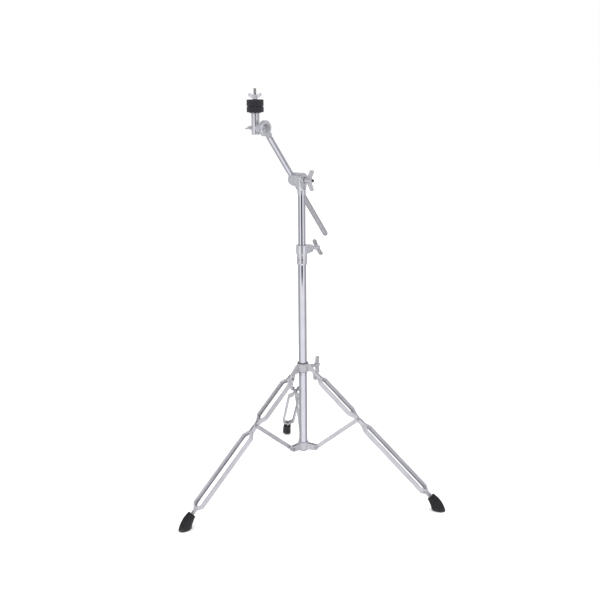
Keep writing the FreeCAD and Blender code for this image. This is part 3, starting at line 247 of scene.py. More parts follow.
def build_floor():
    """A large pale sheet just under the feet."""
    mesh = bpy.data.meshes.new("paper_floor")
    sheet = bmesh.new()
    bmesh.ops.create_grid(sheet, x_segments=8, y_segments=8, size=FLOOR_HALF)
    sheet.to_mesh(mesh)
    sheet.free()
    floor = bpy.data.objects.new("paper_floor", mesh)
    floor.location.z = -FLOOR_SINK
    bpy.context.scene.collection.objects.link(floor)
    paper = bpy.data.materials.new("studio_paper")
    paper.use_nodes = True
    tree = paper.node_tree
    matt = tree.nodes["Principled BSDF"]
    matt.inputs["Roughness"].default_value = 0.9
    matt.inputs["Specular IOR Level"].default_value = 0.1
    place = add(tree, "ShaderNodeNewGeometry")
    fibre = add(tree, "ShaderNodeTexNoise", {"Vector": place.outputs["Position"], "Scale": 40.0, "Detail": 4.0})
    tree.links.new(mixed(tree, fibre.outputs[0], (0.93, 0.93, 0.93, 1), (0.95, 0.95, 0.95, 1)),
                   matt.inputs["Base Color"])
    tone = add(tree, "ShaderNodeGroup", node_tree=ROOM_TONE)
    tree.links.new(place.outputs["Position"], tone.inputs[0])
    distance = add(tree, "ShaderNodeVectorMath", {0: place.outputs["Position"]}, operation="LENGTH").outputs["Value"]
    matt.inputs["Emission Strength"].default_value = 0.3
    far = spread(tree, distance, 0.9, 2.6)
    tree.links.new(mixed(tree, far, (0, 0, 0, 1), (1, 1, 1, 1)), matt.inputs["Emission Color"])
    shine = add(tree, "ShaderNodeEmission", {0: tone.outputs[0], 1: 1.0})
    sees = add(tree, "ShaderNodeLightPath")
    both = add(tree, "ShaderNodeMixShader", {0: sees.outputs["Is Glossy Ray"]})
    tree.links.new(matt.outputs[0], both.inputs[1])
    tree.links.new(shine.outputs[0], both.inputs[2])
    tree.links.new(both.outputs[0], tree.nodes["Material Output"].inputs[0])
    mesh.materials.append(paper)


build_floor()
print("floor", 2 * FLOOR_HALF, "m wide")

# %% [markdown]
# Three large soft lights do the lighting: one overhead, one from the front left and a weaker one from the
# right. A dark card stands where the camera and its operator would, out of the camera's sight: its
# reflection is the fine dark line that makes upright chrome look like chrome.
# %% Lights and the dark card
def soft_light(name, place, aim, size, power):
    """A square area light that looks at a point."""
    data = bpy.data.lights.new(name, "AREA")
    data.energy = power
    data.size = size
    lamp = bpy.data.objects.new(name, data)
    lamp.location = place
    lamp.rotation_euler = (Vector(aim) - Vector(place)).to_track_quat("-Z", "Y").to_euler()
    lamp.visible_glossy = False
    bpy.context.scene.collection.objects.link(lamp)
    return lamp


soft_light("overhead_light", (0.0, 0.3, 3.2), (0.0, 0.1, 0.0), 3.0, 62.0)
soft_light("front_left_light", (-2.4, -2.0, 2.3), (0.0, 0.0, 0.7), 1.4, 24.0)
soft_light("right_light", (2.7, -1.1, 1.9), (0.0, 0.0, 0.8), 1.1, 12.0)

CARD_DISTANCE = 2.62
CARD_HALF_WIDTH = 0.95
CARD_TOP = 2.1
CARD_FOOT = 0.02            # just clear of the floor


def dark_card():
    """A dark upright card at the camera, seen only in reflections."""
    mesh = bpy.data.meshes.new("dark_card")
    corners = [(-CARD_HALF_WIDTH, CARD_FOOT), (CARD_HALF_WIDTH, CARD_FOOT),
               (CARD_HALF_WIDTH, CARD_TOP), (-CARD_HALF_WIDTH, CARD_TOP)]
    mesh.from_pydata([(x, -CARD_DISTANCE, z) for x, z in corners], [], [(0, 1, 2, 3)])
    card = bpy.data.objects.new("dark_card", mesh)
    bpy.context.scene.collection.objects.link(card)
    cloth = bpy.data.materials.new("dark_card")
    cloth.use_nodes = True
    cloth.node_tree.nodes["Principled BSDF"].inputs["Base Color"].default_value = (0.012, 0.012, 0.014, 1)
    cloth.node_tree.nodes["Principled BSDF"].inputs["Roughness"].default_value = 0.95
    mesh.materials.append(cloth)
    card.visible_camera = False
    card.visible_diffuse = False
    card.visible_shadow = False


dark_card()
print("lights and card placed")

# %% [markdown]
# ## Effects that several finishes share
# Real surfaces drift a little in tone from place to place, carry hair-fine marks from polishing and handling,
# and shine along edges where plating is thin or hands have rubbed. Each effect is a node group, made once, so
# that every finish can use it with its own strength. The groups give masks, heights and normals; the shader
# itself stays in each material.
# %% Slow drift of tone
def build_drift():
    """A soft cloud with a little fine detail, from 0 to 1, in the object's own metres."""
    group, inside, out = new_group("Tone drift", [("Scale", FLOAT, 30.0), ("Detail", FLOAT, 3.0)], [("Mask", FLOAT)])
    place = add(group, "ShaderNodeTexCoord").outputs["Object"]
    cloud = add(group, "ShaderNodeTexNoise",
                {"Vector": place, "Scale": inside.outputs["Scale"], "Detail": inside.outputs["Detail"]})
    group.links.new(spread(group, cloud.outputs[0], 0.3, 0.7), out.inputs[0])
    return group


DRIFT = build_drift()

# %% Fine marks drawn out along one direction
def build_marks():
    """Hair-fine lines: noise that is squeezed across one direction. Lengthwise is the unit direction they run in."""
    group, inside, out = new_group(
        "Drawn marks",
        [("Lengthwise", VECTOR, (0, 0, 1)), ("Fineness", FLOAT, 1500.0), ("Stretch", FLOAT, 0.985)],
        [("Mask", FLOAT), ("Height", FLOAT)])
    place = add(group, "ShaderNodeTexCoord").outputs["Object"]
    line = add(group, "ShaderNodeVectorMath", {0: place, 1: inside.outputs["Lengthwise"]}, operation="DOT_PRODUCT")
    along = add(group, "ShaderNodeVectorMath", {0: inside.outputs["Lengthwise"]}, operation="SCALE")
    group.links.new(maths(group, "MULTIPLY", line.outputs["Value"], inside.outputs["Stretch"]), along.inputs["Scale"])
    squeezed = add(group, "ShaderNodeVectorMath", {0: place, 1: along.outputs[0]}, operation="SUBTRACT")
    hairs = add(group, "ShaderNodeTexNoise",
                {"Vector": squeezed.outputs[0], "Scale": inside.outputs["Fineness"], "Detail": 2.0})
    group.links.new(spread(group, hairs.outputs[0], 0.52, 0.72), out.inputs["Mask"])
    group.links.new(hairs.outputs[0], out.inputs["Height"])
    return group


MARKS = build_marks()

# %% Rounded and worn edges
def build_edges():
    """The softened normal near an edge, and a broken mask of where the edge is."""
    group, inside, out = new_group("Worn edges", [("Width", FLOAT, 0.0006), ("Breakup", FLOAT, 0.5)],
                                   [("Mask", FLOAT), ("Normal", VECTOR)])
    soft = add(group, "ShaderNodeBevel", {"Radius": inside.outputs["Width"]}, samples=4)
    true = add(group, "ShaderNodeNewGeometry").outputs["Normal"]
    same = add(group, "ShaderNodeVectorMath", {0: soft.outputs[0], 1: true}, operation="DOT_PRODUCT").outputs["Value"]
    edge = spread(group, same, 0.72, 0.995, 1.0, 0.0)
    place = add(group, "ShaderNodeTexCoord").outputs["Object"]
    chips = add(group, "ShaderNodeTexNoise", {"Vector": place, "Scale": 420.0, "Detail": 5.0}).outputs[0]
    broken = maths(group, "MULTIPLY", spread(group, chips, 0.38, 0.6), inside.outputs["Breakup"])
    kept = maths(group, "SUBTRACT", 1.0, broken, clamp=True)
    group.links.new(maths(group, "MULTIPLY", edge, kept), out.inputs["Mask"])
    group.links.new(soft.outputs[0], out.inputs["Normal"])
    return group


EDGES = build_edges()

# %% A screw thread drawn on a plain shank
def build_thread():
    """The height of a helical thread about an axis, given as a point, the axis and one direction across it."""
    group, inside, out = new_group(
        "Screw thread",
        [("Point", VECTOR, None), ("Axis", VECTOR, (0, 0, 1)), ("Across", VECTOR, (1, 0, 0)),
         ("Pitch", FLOAT, 0.001)],
        [("Height", FLOAT)])
    place = add(group, "ShaderNodeTexCoord").outputs["Object"]
    offset = add(group, "ShaderNodeVectorMath", {0: place, 1: inside.outputs["Point"]}, operation="SUBTRACT").outputs[0]
    third = add(group, "ShaderNodeVectorMath", {0: inside.outputs["Axis"], 1: inside.outputs["Across"]},
                operation="CROSS_PRODUCT").outputs[0]
    lengths = [add(group, "ShaderNodeVectorMath", {0: offset, 1: way}, operation="DOT_PRODUCT").outputs["Value"]
               for way in (inside.outputs["Axis"], inside.outputs["Across"], third)]
    turn = maths(group, "DIVIDE", maths(group, "ARCTAN2", lengths[1], lengths[2]), 2 * math.pi)
    climbs = maths(group, "DIVIDE", lengths[0], inside.outputs["Pitch"])
    wave = maths(group, "PINGPONG", maths(group, "ADD", turn, climbs), 0.5)
    group.links.new(wave, out.inputs[0])
    return group


THREAD = build_thread()
print("shared effects:", ", ".join(group.name for group in (DRIFT, MARKS, EDGES, THREAD)))

# %% [markdown]
# ## The metal finishes
# All the metals start from one recipe: a metallic shader, two nearly equal colours mixed by the drift, a
# roughness that the drift and the fine marks push up and down, and a shallow bump. What separates bright tube
# from grey casting is only how rough it is, how much it is marked, and how far its edges are worn bright.
# %% One recipe for metals
def start_material(name):
    """A new material with nodes, its tree and its shader."""
    made = bpy.data.materials.new(name)
    made.use_nodes = True
    return made, made.node_tree, made.node_tree.nodes["Principled BSDF"]


def metal(name, dark, light, smooth, rough, lengthwise=(0, 0, 1), marks=0.25, fineness=1500.0, grain=0.0,
          grain_scale=900.0, edge_width=0.0005, edge_light=(0.8, 0.8, 0.82, 1), drift_scale=24.0, metallic=1.0):
    """A metal finish. smooth and rough are the ends of its roughness; grain is the depth of a cast surface."""
    made, tree, shader = start_material(name)
    shader.inputs["Metallic"].default_value = metallic
    drift = group_node(tree, DRIFT, {"Scale": drift_scale, "Detail": 4.0}).outputs[0]
    lines = group_node(tree, MARKS, {"Lengthwise": lengthwise, "Fineness": fineness})
    worn = group_node(tree, EDGES, {"Width": edge_width, "Breakup": 0.6})
    body = mixed(tree, drift, dark, light)
    tree.links.new(mixed(tree, worn.outputs["Mask"], body, edge_light), shader.inputs["Base Color"])
    base = spread(tree, drift, 0.0, 1.0, smooth, rough)
    marked = maths(tree, "MULTIPLY", lines.outputs["Mask"], marks * rough)
    tree.links.new(maths(tree, "ADD", base, marked), shader.inputs["Roughness"])
    place = add(tree, "ShaderNodeTexCoord").outputs["Object"]
    pits = add(tree, "ShaderNodeTexNoise", {"Vector": place, "Scale": grain_scale, "Detail": 3.0}).outputs[0]
    cast = maths(tree, "MULTIPLY", pits, grain)
    height = maths(tree, "ADD", cast, maths(tree, "MULTIPLY", lines.outputs["Height"], marks))
    bump = add(tree, "ShaderNodeBump", {"Strength": 0.25, "Distance": 0.00004, "Height": height,
                                        "Normal": worn.outputs["Normal"]})
    tree.links.new(bump.outputs[0], shader.inputs["Normal"])
    return made


# %% Bright tube, castings, pressings and fastenings
FINISHES = {
    "chrome_tube": metal("chrome_tube", (0.66, 0.66, 0.70, 1), (0.71, 0.71, 0.75, 1), 0.035, 0.085, marks=0.5,
                         fineness=2200.0),
    "cast_chrome": metal("cast_chrome", (0.58, 0.58, 0.61, 1), (0.67, 0.67, 0.71, 1), 0.10, 0.20, grain=1.6,
                         grain_scale=520.0, edge_width=0.0007, metallic=0.75),
    "cast_grey": metal("cast_grey", (0.42, 0.42, 0.44, 1), (0.53, 0.53, 0.56, 1), 0.24, 0.38, grain=3.0,
                       grain_scale=700.0, edge_width=0.0008, metallic=0.55),
    "rivet_steel": metal("rivet_steel", (0.40, 0.40, 0.42, 1), (0.50, 0.50, 0.52, 1), 0.18, 0.30, grain=1.0,
                         edge_width=0.0004),
    "wing_metal": metal("wing_metal", (0.60, 0.60, 0.62, 1), (0.70, 0.70, 0.73, 1), 0.12, 0.24, grain=1.8,
                        grain_scale=600.0, edge_width=0.0006, metallic=0.75),
}
print("metal finishes:", ", ".join(FINISHES))

# %% [markdown]
# The legs are pressed from strip and barrel plated, so they are satin rather than bright, and the faint marks
# run along each strip. Each leg lies in its own direction, and the marks need that direction: it is the line
# from the top of the strip to its foot, measured from the part itself.
# %% Satin strips, one finish for each direction
def long_way(node):
    """The unit direction from the highest to the lowest end of a node's box of points."""
    points = [vertex.co for vertex in NODES[node].data.vertices]
    top = max(points, key=lambda point: point.z)
    foot = min(points, key=lambda point: point.z)
    return (foot - top).normalized()


def satin(name, node):
    """Satin plated strip whose fine marks run the long way of the node."""
    return metal(name, (0.45, 0.45, 0.475, 1), (0.54, 0.54, 0.57, 1), 0.36, 0.46, lengthwise=tuple(long_way(node)),
                 marks=0.45, fineness=1300.0, grain=0.8, edge_width=0.0005, drift_scale=16.0, metallic=0.45)


STRIP_FINISHES = {}
for number in (1, 2, 3):
    STRIP_FINISHES[f"leg_{number}_left"] = satin(f"satin_leg_{number}", f"leg_{number}_left")
    STRIP_FINISHES[f"leg_{number}_right"] = STRIP_FINISHES[f"leg_{number}_left"]
    STRIP_FINISHES[f"stay_{number}"] = satin(f"satin_stay_{number}", f"stay_{number}")
print("strip finishes:", len(STRIP_FINISHES))

# %% [markdown]
# The boom arm is one tube with two finishes. Above the saddle it is as bright as the column. Below, it is
# rolled with a fine diamond knurl so that the clamp can grip it, and that reads as matt grey; its grooves are
# painted darker than its diamonds, as painted shade. The knurl follows the tube, so its pattern is worked out
# from the distance along the arm and the angle round it.
# %% The arm's knurl
KNURL_TEETH = 46
KNURL_PITCH = 0.0011
KNURL_DEPTH = 0.00022
KNURL_TOP = -0.028


def arm_finish():
    """Bright tube above the saddle and diamond knurl below it, with painted shade in the knurl's grooves."""
    point = middle_of("boom_arm")
    axis = Vector(JOINTS["arm_slide"]["axis"]).normalized()
    if axis.z < 0:
        axis = -axis
    across = axis.cross(Vector((0, 0, 1))).normalized()
    third = axis.cross(across)
    middle = point + axis * (middle_of("boom_saddle") - point).dot(axis)
    made, tree, shader = start_material("arm_chrome")
    shader.inputs["Metallic"].default_value = 1.0
    place = add(tree, "ShaderNodeTexCoord").outputs["Object"]
    offset = add(tree, "ShaderNodeVectorMath", {0: place, 1: middle}, operation="SUBTRACT").outputs[0]
    parts = [add(tree, "ShaderNodeVectorMath", {0: offset, 1: way}, operation="DOT_PRODUCT").outputs["Value"]
             for way in (axis, across, third)]
    turn = maths(tree, "MULTIPLY", maths(tree, "ARCTAN2", parts[1], parts[2]), KNURL_TEETH)
    climb = maths(tree, "MULTIPLY", parts[0], 2 * math.pi / KNURL_PITCH)
    right_hand = maths(tree, "ABSOLUTE", maths(tree, "SINE", maths(tree, "ADD", turn, climb)))
    left_hand = maths(tree, "ABSOLUTE", maths(tree, "SINE", maths(tree, "SUBTRACT", turn, climb)))
    diamonds = maths(tree, "MULTIPLY", right_hand, left_hand)
    rolled = spread(tree, parts[0], KNURL_TOP - 0.001, KNURL_TOP, 1.0, 0.0)
    drift = group_node(tree, DRIFT, {"Scale": 26.0, "Detail": 4.0}).outputs[0]
    lines = group_node(tree, MARKS, {"Lengthwise": tuple(axis), "Fineness": 2200.0})
    bright = mixed(tree, drift, (0.64, 0.64, 0.68, 1), (0.70, 0.70, 0.74, 1))
    # painted shade: the knurl's colour is darker (0.56) in its grooves and lighter (0.80) on its raised diamonds
    matt = mixed(tree, diamonds, (0.56, 0.56, 0.58, 1), (0.80, 0.80, 0.82, 1))
    tree.links.new(mixed(tree, rolled, bright, matt), shader.inputs["Base Color"])
    scratched = maths(tree, "MULTIPLY", lines.outputs[0], 0.04)
    polished = maths(tree, "ADD", spread(tree, drift, 0.0, 1.0, 0.05, 0.11), scratched)
    rough = maths(tree, "MULTIPLY", rolled, spread(tree, drift, 0.0, 1.0, 0.22, 0.3))
    tree.links.new(maths(tree, "ADD", polished, rough), shader.inputs["Roughness"])
    bump = add(tree, "ShaderNodeBump", {"Strength": 0.7, "Distance": KNURL_DEPTH,
                                        "Height": maths(tree, "MULTIPLY", diamonds, rolled)})
    tree.links.new(bump.outputs[0], shader.inputs["Normal"])
    return made


ARM_FINISH = arm_finish()
print("arm: knurl of", KNURL_TEETH, "teeth below the saddle")

# %% [markdown]
# Bolts are zinc plated: greyer and a little warmer than chrome, with a thread. On the two bolts whose plain
# ends only just show, the thread is drawn by the shared group as a bump, with painted shade darkening its
# roots. The cymbal's rod stands out in the open, so it gets a real thread later.
# %% Bolt finishes
def threaded_finish(name, joint_name, pitch, dark, light):
    """Plated steel with a thread about a joint's axis; the thread's roots are darkened as painted shade."""
    point, axis = joint_line(joint_name)
    across = axis.orthogonal().normalized()
    made, tree, shader = start_material(name)
    shader.inputs["Metallic"].default_value = 1.0
    drift = group_node(tree, DRIFT, {"Scale": 60.0, "Detail": 4.0}).outputs[0]
    worn = group_node(tree, EDGES, {"Width": 0.0004, "Breakup": 0.5})
    helix = group_node(tree, THREAD, {"Point": point, "Axis": axis, "Across": across, "Pitch": pitch}).outputs[0]
    # painted shade: the thread's colour runs from the dark colour in its roots to the light one on its crests
    root_shaded_thread = mixed(tree, maths(tree, "MULTIPLY", helix, 2.0), dark, light)
    tree.links.new(mixed(tree, worn.outputs["Mask"], root_shaded_thread, (0.72, 0.72, 0.72, 1)), shader.inputs["Base Color"])
    tree.links.new(spread(tree, drift, 0.0, 1.0, 0.2, 0.34), shader.inputs["Roughness"])
    bump = add(tree, "ShaderNodeBump", {"Strength": 0.6, "Distance": pitch / 3, "Height": helix,
                                        "Normal": worn.outputs["Normal"]})
    tree.links.new(bump.outputs[0], shader.inputs["Normal"])
    return made


# each bolt's dark colour is the painted shade in its thread roots, and its light colour is the crests
EYE_BOLT_FINISH = threaded_finish("eye_bolt_zinc", "boom_nut_turn", 0.00125,
                                  (0.06, 0.06, 0.07, 1), (0.30, 0.30, 0.31, 1))
TILTER_BOLT_FINISH = threaded_finish("tilter_bolt_zinc", "tilter_nut_turn", 0.001,
                                     (0.50, 0.50, 0.52, 1), (0.68, 0.68, 0.71, 1))
FINISHES["bolt_steel"] = metal("bolt_steel", (0.50, 0.50, 0.50, 1), (0.62, 0.61, 0.60, 1), 0.20, 0.33, grain=0.8,
                               edge_width=0.0003, drift_scale=70.0)
print("bolt finishes ready")

# %% [markdown]
# ## The dark materials
# The feet are moulded rubber: a fine, even grain, a soft sheen, and scuffs paler than the rest near the floor.
# The caps and bushes are plastic, smoother and a touch glossier. Neither is pure black, because real rubber
# and plastic always send back a little light.
# %% Rubber, plastic and nylon
def moulded(name, dark, light, smooth, rough, grain_scale, depth, scuff=0.0):
    """A moulded plastic or rubber. scuff is how much paler it is close to the floor."""
    made, tree, shader = start_material(name)
    shader.inputs["Specular IOR Level"].default_value = 0.3
    drift = group_node(tree, DRIFT, {"Scale": 90.0, "Detail": 5.0}).outputs[0]
    worn = group_node(tree, EDGES, {"Width": 0.0008, "Breakup": 0.7})
    place = add(tree, "ShaderNodeTexCoord").outputs["Object"]
    grain = add(tree, "ShaderNodeTexVoronoi", {"Vector": place, "Scale": grain_scale}).outputs["Distance"]
    body = mixed(tree, drift, dark, light)
    height = add(tree, "ShaderNodeSeparateXYZ", {0: place}).outputs["Z"]
    low = maths(tree, "MULTIPLY", spread(tree, height, 0.001, 0.012, 1.0, 0.0), drift)
    dusty = mixed(tree, maths(tree, "MULTIPLY", low, scuff), body, (0.11, 0.11, 0.115, 1))
    rim = tuple(min(1.0, 2.2 * value) for value in light[:3]) + (1,)
    rubbed = mixed(tree, maths(tree, "MULTIPLY", worn.outputs["Mask"], 0.5), dusty, rim)
    tree.links.new(rubbed, shader.inputs["Base Color"])
    tree.links.new(spread(tree, drift, 0.0, 1.0, smooth, rough), shader.inputs["Roughness"])
    bump = add(tree, "ShaderNodeBump", {"Strength": 0.5, "Distance": depth, "Height": grain,
                                        "Normal": worn.outputs["Normal"]})
    tree.links.new(bump.outputs[0], shader.inputs["Normal"])
    return made


FINISHES["black_rubber"] = moulded("black_rubber", (0.007, 0.007, 0.009, 1), (0.015, 0.015, 0.018, 1), 0.42, 0.58,
                                   1500.0, 0.00008, scuff=0.6)
FINISHES["black_plastic"] = moulded("black_plastic", (0.016, 0.016, 0.018, 1), (0.028, 0.028, 0.031, 1), 0.26, 0.38,
                                    2600.0, 0.00003)
FINISHES["nylon"] = moulded("nylon", (0.035, 0.035, 0.04, 1), (0.06, 0.06, 0.066, 1), 0.34, 0.48, 2000.0, 0.00004)
print("moulded finishes ready")

# %% [markdown]
# Felt is pressed wool: countless fibres lying every way, with no weave. Close to, its colour is mottled and
# its surface is soft and uneven, and light skims its fuzz, so the shader gets some sheen. Two noises do it: a
# stretched one for fibres and a slower one for the way the wool clumps.
# %% Felt
def felt_finish():
    """Black pressed-wool felt."""
    made, tree, shader = start_material("black_felt")
    shader.inputs["Sheen Weight"].default_value = 0.08
    shader.inputs["Sheen Roughness"].default_value = 0.6
    shader.inputs["Specular IOR Level"].default_value = 0.15
    place = add(tree, "ShaderNodeTexCoord").outputs["Object"]
    bent = add(tree, "ShaderNodeTexNoise", {"Vector": place, "Scale": 260.0, "Detail": 2.0}).outputs["Color"]
    swirled = add(tree, "ShaderNodeVectorMath", {0: bent, 1: (0.006, 0.006, 0.006)}, operation="MULTIPLY").outputs[0]
    moved = add(tree, "ShaderNodeVectorMath", {0: place, 1: swirled}, operation="ADD").outputs[0]
    flat = add(tree, "ShaderNodeVectorMath", {0: moved, 1: (1.0, 1.0, 3.0)}, operation="MULTIPLY").outputs[0]
    fibres = add(tree, "ShaderNodeTexNoise", {"Vector": flat, "Scale": 1900.0, "Detail": 5.0}).outputs[0]
    clumps = group_node(tree, DRIFT, {"Scale": 240.0, "Detail": 5.0}).outputs[0]
    wool = mixed(tree, spread(tree, fibres, 0.4, 0.65), (0.008, 0.008, 0.011, 1), (0.034, 0.034, 0.042, 1))
    clumped = maths(tree, "MULTIPLY", clumps, 0.5)
    tree.links.new(mixed(tree, clumped, wool, (0.018, 0.018, 0.024, 1)), shader.inputs["Base Color"])
    tree.links.new(spread(tree, fibres, 0.3, 0.7, 0.85, 1.0), shader.inputs["Roughness"])
    lumps = maths(tree, "ADD", fibres, maths(tree, "MULTIPLY", clumps, 0.6))
    bump = add(tree, "ShaderNodeBump", {"Strength": 0.9, "Distance": 0.0004, "Height": lumps})
    tree.links.new(bump.outputs[0], shader.inputs["Normal"])
    return made


FINISHES["black_felt"] = felt_finish()
print("felt ready")

# %% [markdown]
# ## Giving every part its finish
# Every part already carries the name of its slot, so most of the work is one loop. A few parts take a finish
# of their own: the strips, the arm and the two bolts.
# %% Finish the loaded parts
OWN_FINISH = dict(STRIP_FINISHES)
OWN_FINISH.update({"boom_arm": ARM_FINISH, "boom_eye_bolt": EYE_BOLT_FINISH, "tilter_bolt": TILTER_BOLT_FINISH})


def slot_of(node):
    """The name of the material slot that a part was loaded with."""
    return NODES[node].data.materials[0].name.split(".")[0]


SLOT_OF = {node: slot_of(node) for node in NODES}
for node, part in NODES.items():
    part.material_slots[0].material = OWN_FINISH.get(node) or FINISHES[SLOT_OF[node]]
print("finished", len(NODES), "parts in", len(set(SLOT_OF.values())), "slots")

# %% [markdown]
# ## Remaking the cast wings
# A wing nut is cast and then tumbled, so it has no sharp edge anywhere and its wings are slightly dished where
# thumb and finger press. The plain part already has the right size and place. It is copied, melted into one
# skin by a voxel remesh, softened, and then pressed in on both faces of each wing.
# %% Melt and soften
def copy_of(node, name):
    """A new object with a copy of a node's mesh."""
    made = bpy.data.objects.new(name, NODES[node].data.copy())
    bpy.context.scene.collection.objects.link(made)
    return made


def applied(piece):
    """Turns a piece's modifiers into its mesh."""
    seen = piece.evaluated_get(bpy.context.evaluated_depsgraph_get())
    mesh = bpy.data.meshes.new_from_object(seen)
    piece.modifiers.clear()
    old = piece.data
    piece.data = mesh
    bpy.data.meshes.remove(old)
    return piece


def melted(piece, voxel, rounds):
    """One closed skin over all of a piece's solids, with its edges softened."""
    remesh = piece.modifiers.new("melt", "REMESH")
    remesh.mode = "VOXEL"
    remesh.voxel_size = voxel
    remesh.use_smooth_shade = True
    soften = piece.modifiers.new("soften", "SMOOTH")
    soften.factor = 0.5
    soften.iterations = rounds
    return applied(piece)


def kept_inside(piece, node):
    """Holds every point of a piece within a node's box."""
    low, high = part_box(node)
    for vertex in piece.data.vertices:
        for i in range(3):
            vertex.co[i] = min(max(vertex.co[i], low[i]), high[i])


# %% Dish the wings
DISH_DEPTH = 0.55 * MM
DISH_REACH = (0.62, 0.24)     # where the middle of a dish lies along the wing, and its half length


def wing_directions(node, origin, axis):
    """The direction the wings spread in, and the direction square to them and to the axis."""
    longest = max((vertex.co - origin for vertex in NODES[node].data.vertices),
                  key=lambda offset: (offset - axis * offset.dot(axis)).length)
    spread_way = (longest - axis * longest.dot(axis)).normalized()
    return spread_way, axis.cross(spread_way).normalized()


def cast_wing(node, body, joint_name, voxel):
    """A softened, dished casting that stands for a plain wing nut or wing bolt."""
    origin, axis = joint_line(joint_name)
    wide, thin = wing_directions(node, origin, axis)
    piece = melted(copy_of(node, node + "_cast"), voxel, 5)
    half_span = max(abs((vertex.co - origin).dot(wide)) for vertex in piece.data.vertices)
    tips = [(vertex.co - origin).dot(axis) for vertex in piece.data.vertices
            if abs((vertex.co - origin).dot(wide)) > 0.8 * half_span]
    middle_up = (min(tips) + max(tips)) / 2
    half_up = (max(tips) - min(tips)) / 2
    for vertex in piece.data.vertices:
        offset = vertex.co - origin
        along = (abs(offset.dot(wide)) / half_span - DISH_REACH[0]) / DISH_REACH[1]
        up = (offset.dot(axis) - middle_up) / (0.75 * half_up)
        deep = 1 - along * along - up * up
        across = offset.dot(thin)
        if deep > 0 and abs(across) > 0.3 * MM:
            vertex.co -= thin * math.copysign(DISH_DEPTH * math.sqrt(deep), across)
    kept_inside(piece, node)
    piece.data.materials.clear()
    piece.data.materials.append(FINISHES["wing_metal"])
    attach(piece, body)
    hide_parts(node)
    return piece


WINGS = [("collar_wing_bolt", "collar_bolt", "collar_bolt_turn", 0.55 * MM),
         ("clamp_wing_bolt", "clamp_bolt", "clamp_bolt_turn", 0.55 * MM),
         ("boom_wing_nut", "boom_nut", "boom_nut_turn", 0.55 * MM),
         ("tilter_wing_nut", "tilter_nut", "tilter_nut_turn", 0.4 * MM),
         ("cymbal_wing_nut", "cymbal_nut", "cymbal_nut_turn", 0.4 * MM)]
for node, body, joint_name, voxel in WINGS:
    wing = cast_wing(node, body, joint_name, voxel)
    print(wing.name, len(wing.data.vertices), "points")

# %% [markdown]
# ## A real thread on the cymbal's rod
# The rod's top stands bare above its wing nut, so its thread shows against the sky. A thread is a cylinder whose
# radius goes in and out once per pitch while it climbs once per turn. That needs no boolean cuts: each ring of
# points is set to the radius that the helix has there.
# %% Thread the rod
ROD_PITCH = 1.25 * MM
ROD_THREAD_DEPTH = 0.55 * MM
ROD_SIDES = 36
ROWS_PER_PITCH = 6
TOP_CHAMFER = 1.0 * MM
FOOT_CHAMFER = 0.6 * MM


def threaded_rod():
    """The cymbal's rod with a helical thread from the seat up, closed and chamfered at both ends."""
    origin, axis = joint_line("cymbal_nut_turn")
    low, high = (Vector(corner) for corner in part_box("cymbal_rod"))
    radius = (high.x - low.x) / 2
    thread_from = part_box("seat_washer")[1][2]
    rows = int((high.z - low.z) / (ROD_PITCH / ROWS_PER_PITCH))
    shape = bmesh.new()
    rings = []
    for row in range(rows + 1):
        z = low.z + (high.z - low.z) * row / rows
        ring = []
        for side in range(ROD_SIDES):
            turn = side / ROD_SIDES
            phase = (z / ROD_PITCH + turn) % 1.0
            groove = ROD_THREAD_DEPTH * abs(2 * phase - 1) if z > thread_from else 0.0
            end = max(0.0, TOP_CHAMFER - (high.z - z), FOOT_CHAMFER - (z - low.z))
            r = radius - max(groove, end)
            angle = 2 * math.pi * turn
            ring.append(shape.verts.new((origin.x + r * math.cos(angle), origin.y + r * math.sin(angle), z)))
        rings.append(ring)
    for lower, upper in zip(rings, rings[1:]):
        for side in range(ROD_SIDES):
            after = (side + 1) % ROD_SIDES
            shape.faces.new((lower[side], lower[after], upper[after], upper[side]))
    shape.faces.new(list(reversed(rings[0])))
    shape.faces.new(rings[-1])
    mesh = bpy.data.meshes.new("cymbal_rod_threaded")
    shape.to_mesh(mesh)
    shape.free()
    mesh.materials.append(FINISHES["bolt_steel"])
    rod = bpy.data.objects.new("cymbal_rod_threaded", mesh)
    bpy.context.scene.collection.objects.link(rod)
    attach(rod, "seat_post")
    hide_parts("cymbal_rod")
    return rows


print("thread cut in", threaded_rod(), "rows")

# %% [markdown]
# ## The felts
# Two thick felt pads hold the cymbal between the seat and the wing nut. They are dense but soft: the edges are
# rounded by wear and the surface is uneven wool. Each pad is turned as a
# slightly small blank, remeshed into even cells, and blown up very slightly as cloth with its held faces
# pinned. Pressed felt is stiff, so most of the shape is the blank's: the cloth only relaxes it.
# %% Turn a blank
FELT_SHRINK = 0.3 * MM
FELT_VOXEL = 1.5 * MM
FELT_EDGE = 1.9 * MM
EDGE_STEPS = 6              # facets round each rounded edge
BORE_ROOM = 0.1 * MM
FACE_ROOM = 0.15 * MM


def felt_profile(outer, bore, low, high):
    """Radius and height round one side of a pad, with rounded outer edges."""
    points = [(bore, low), (0.5 * (bore + outer), low)]
    quarter = [math.pi / 2 * i / EDGE_STEPS for i in range(EDGE_STEPS + 1)]
    points += [(outer - FELT_EDGE + FELT_EDGE * math.sin(angle), low + FELT_EDGE - FELT_EDGE * math.cos(angle))
               for angle in quarter]
    points += [(outer - FELT_EDGE + FELT_EDGE * math.cos(angle), high - FELT_EDGE + FELT_EDGE * math.sin(angle))
               for angle in quarter]
    return points + [(0.5 * (bore + outer), high), (bore, high)]


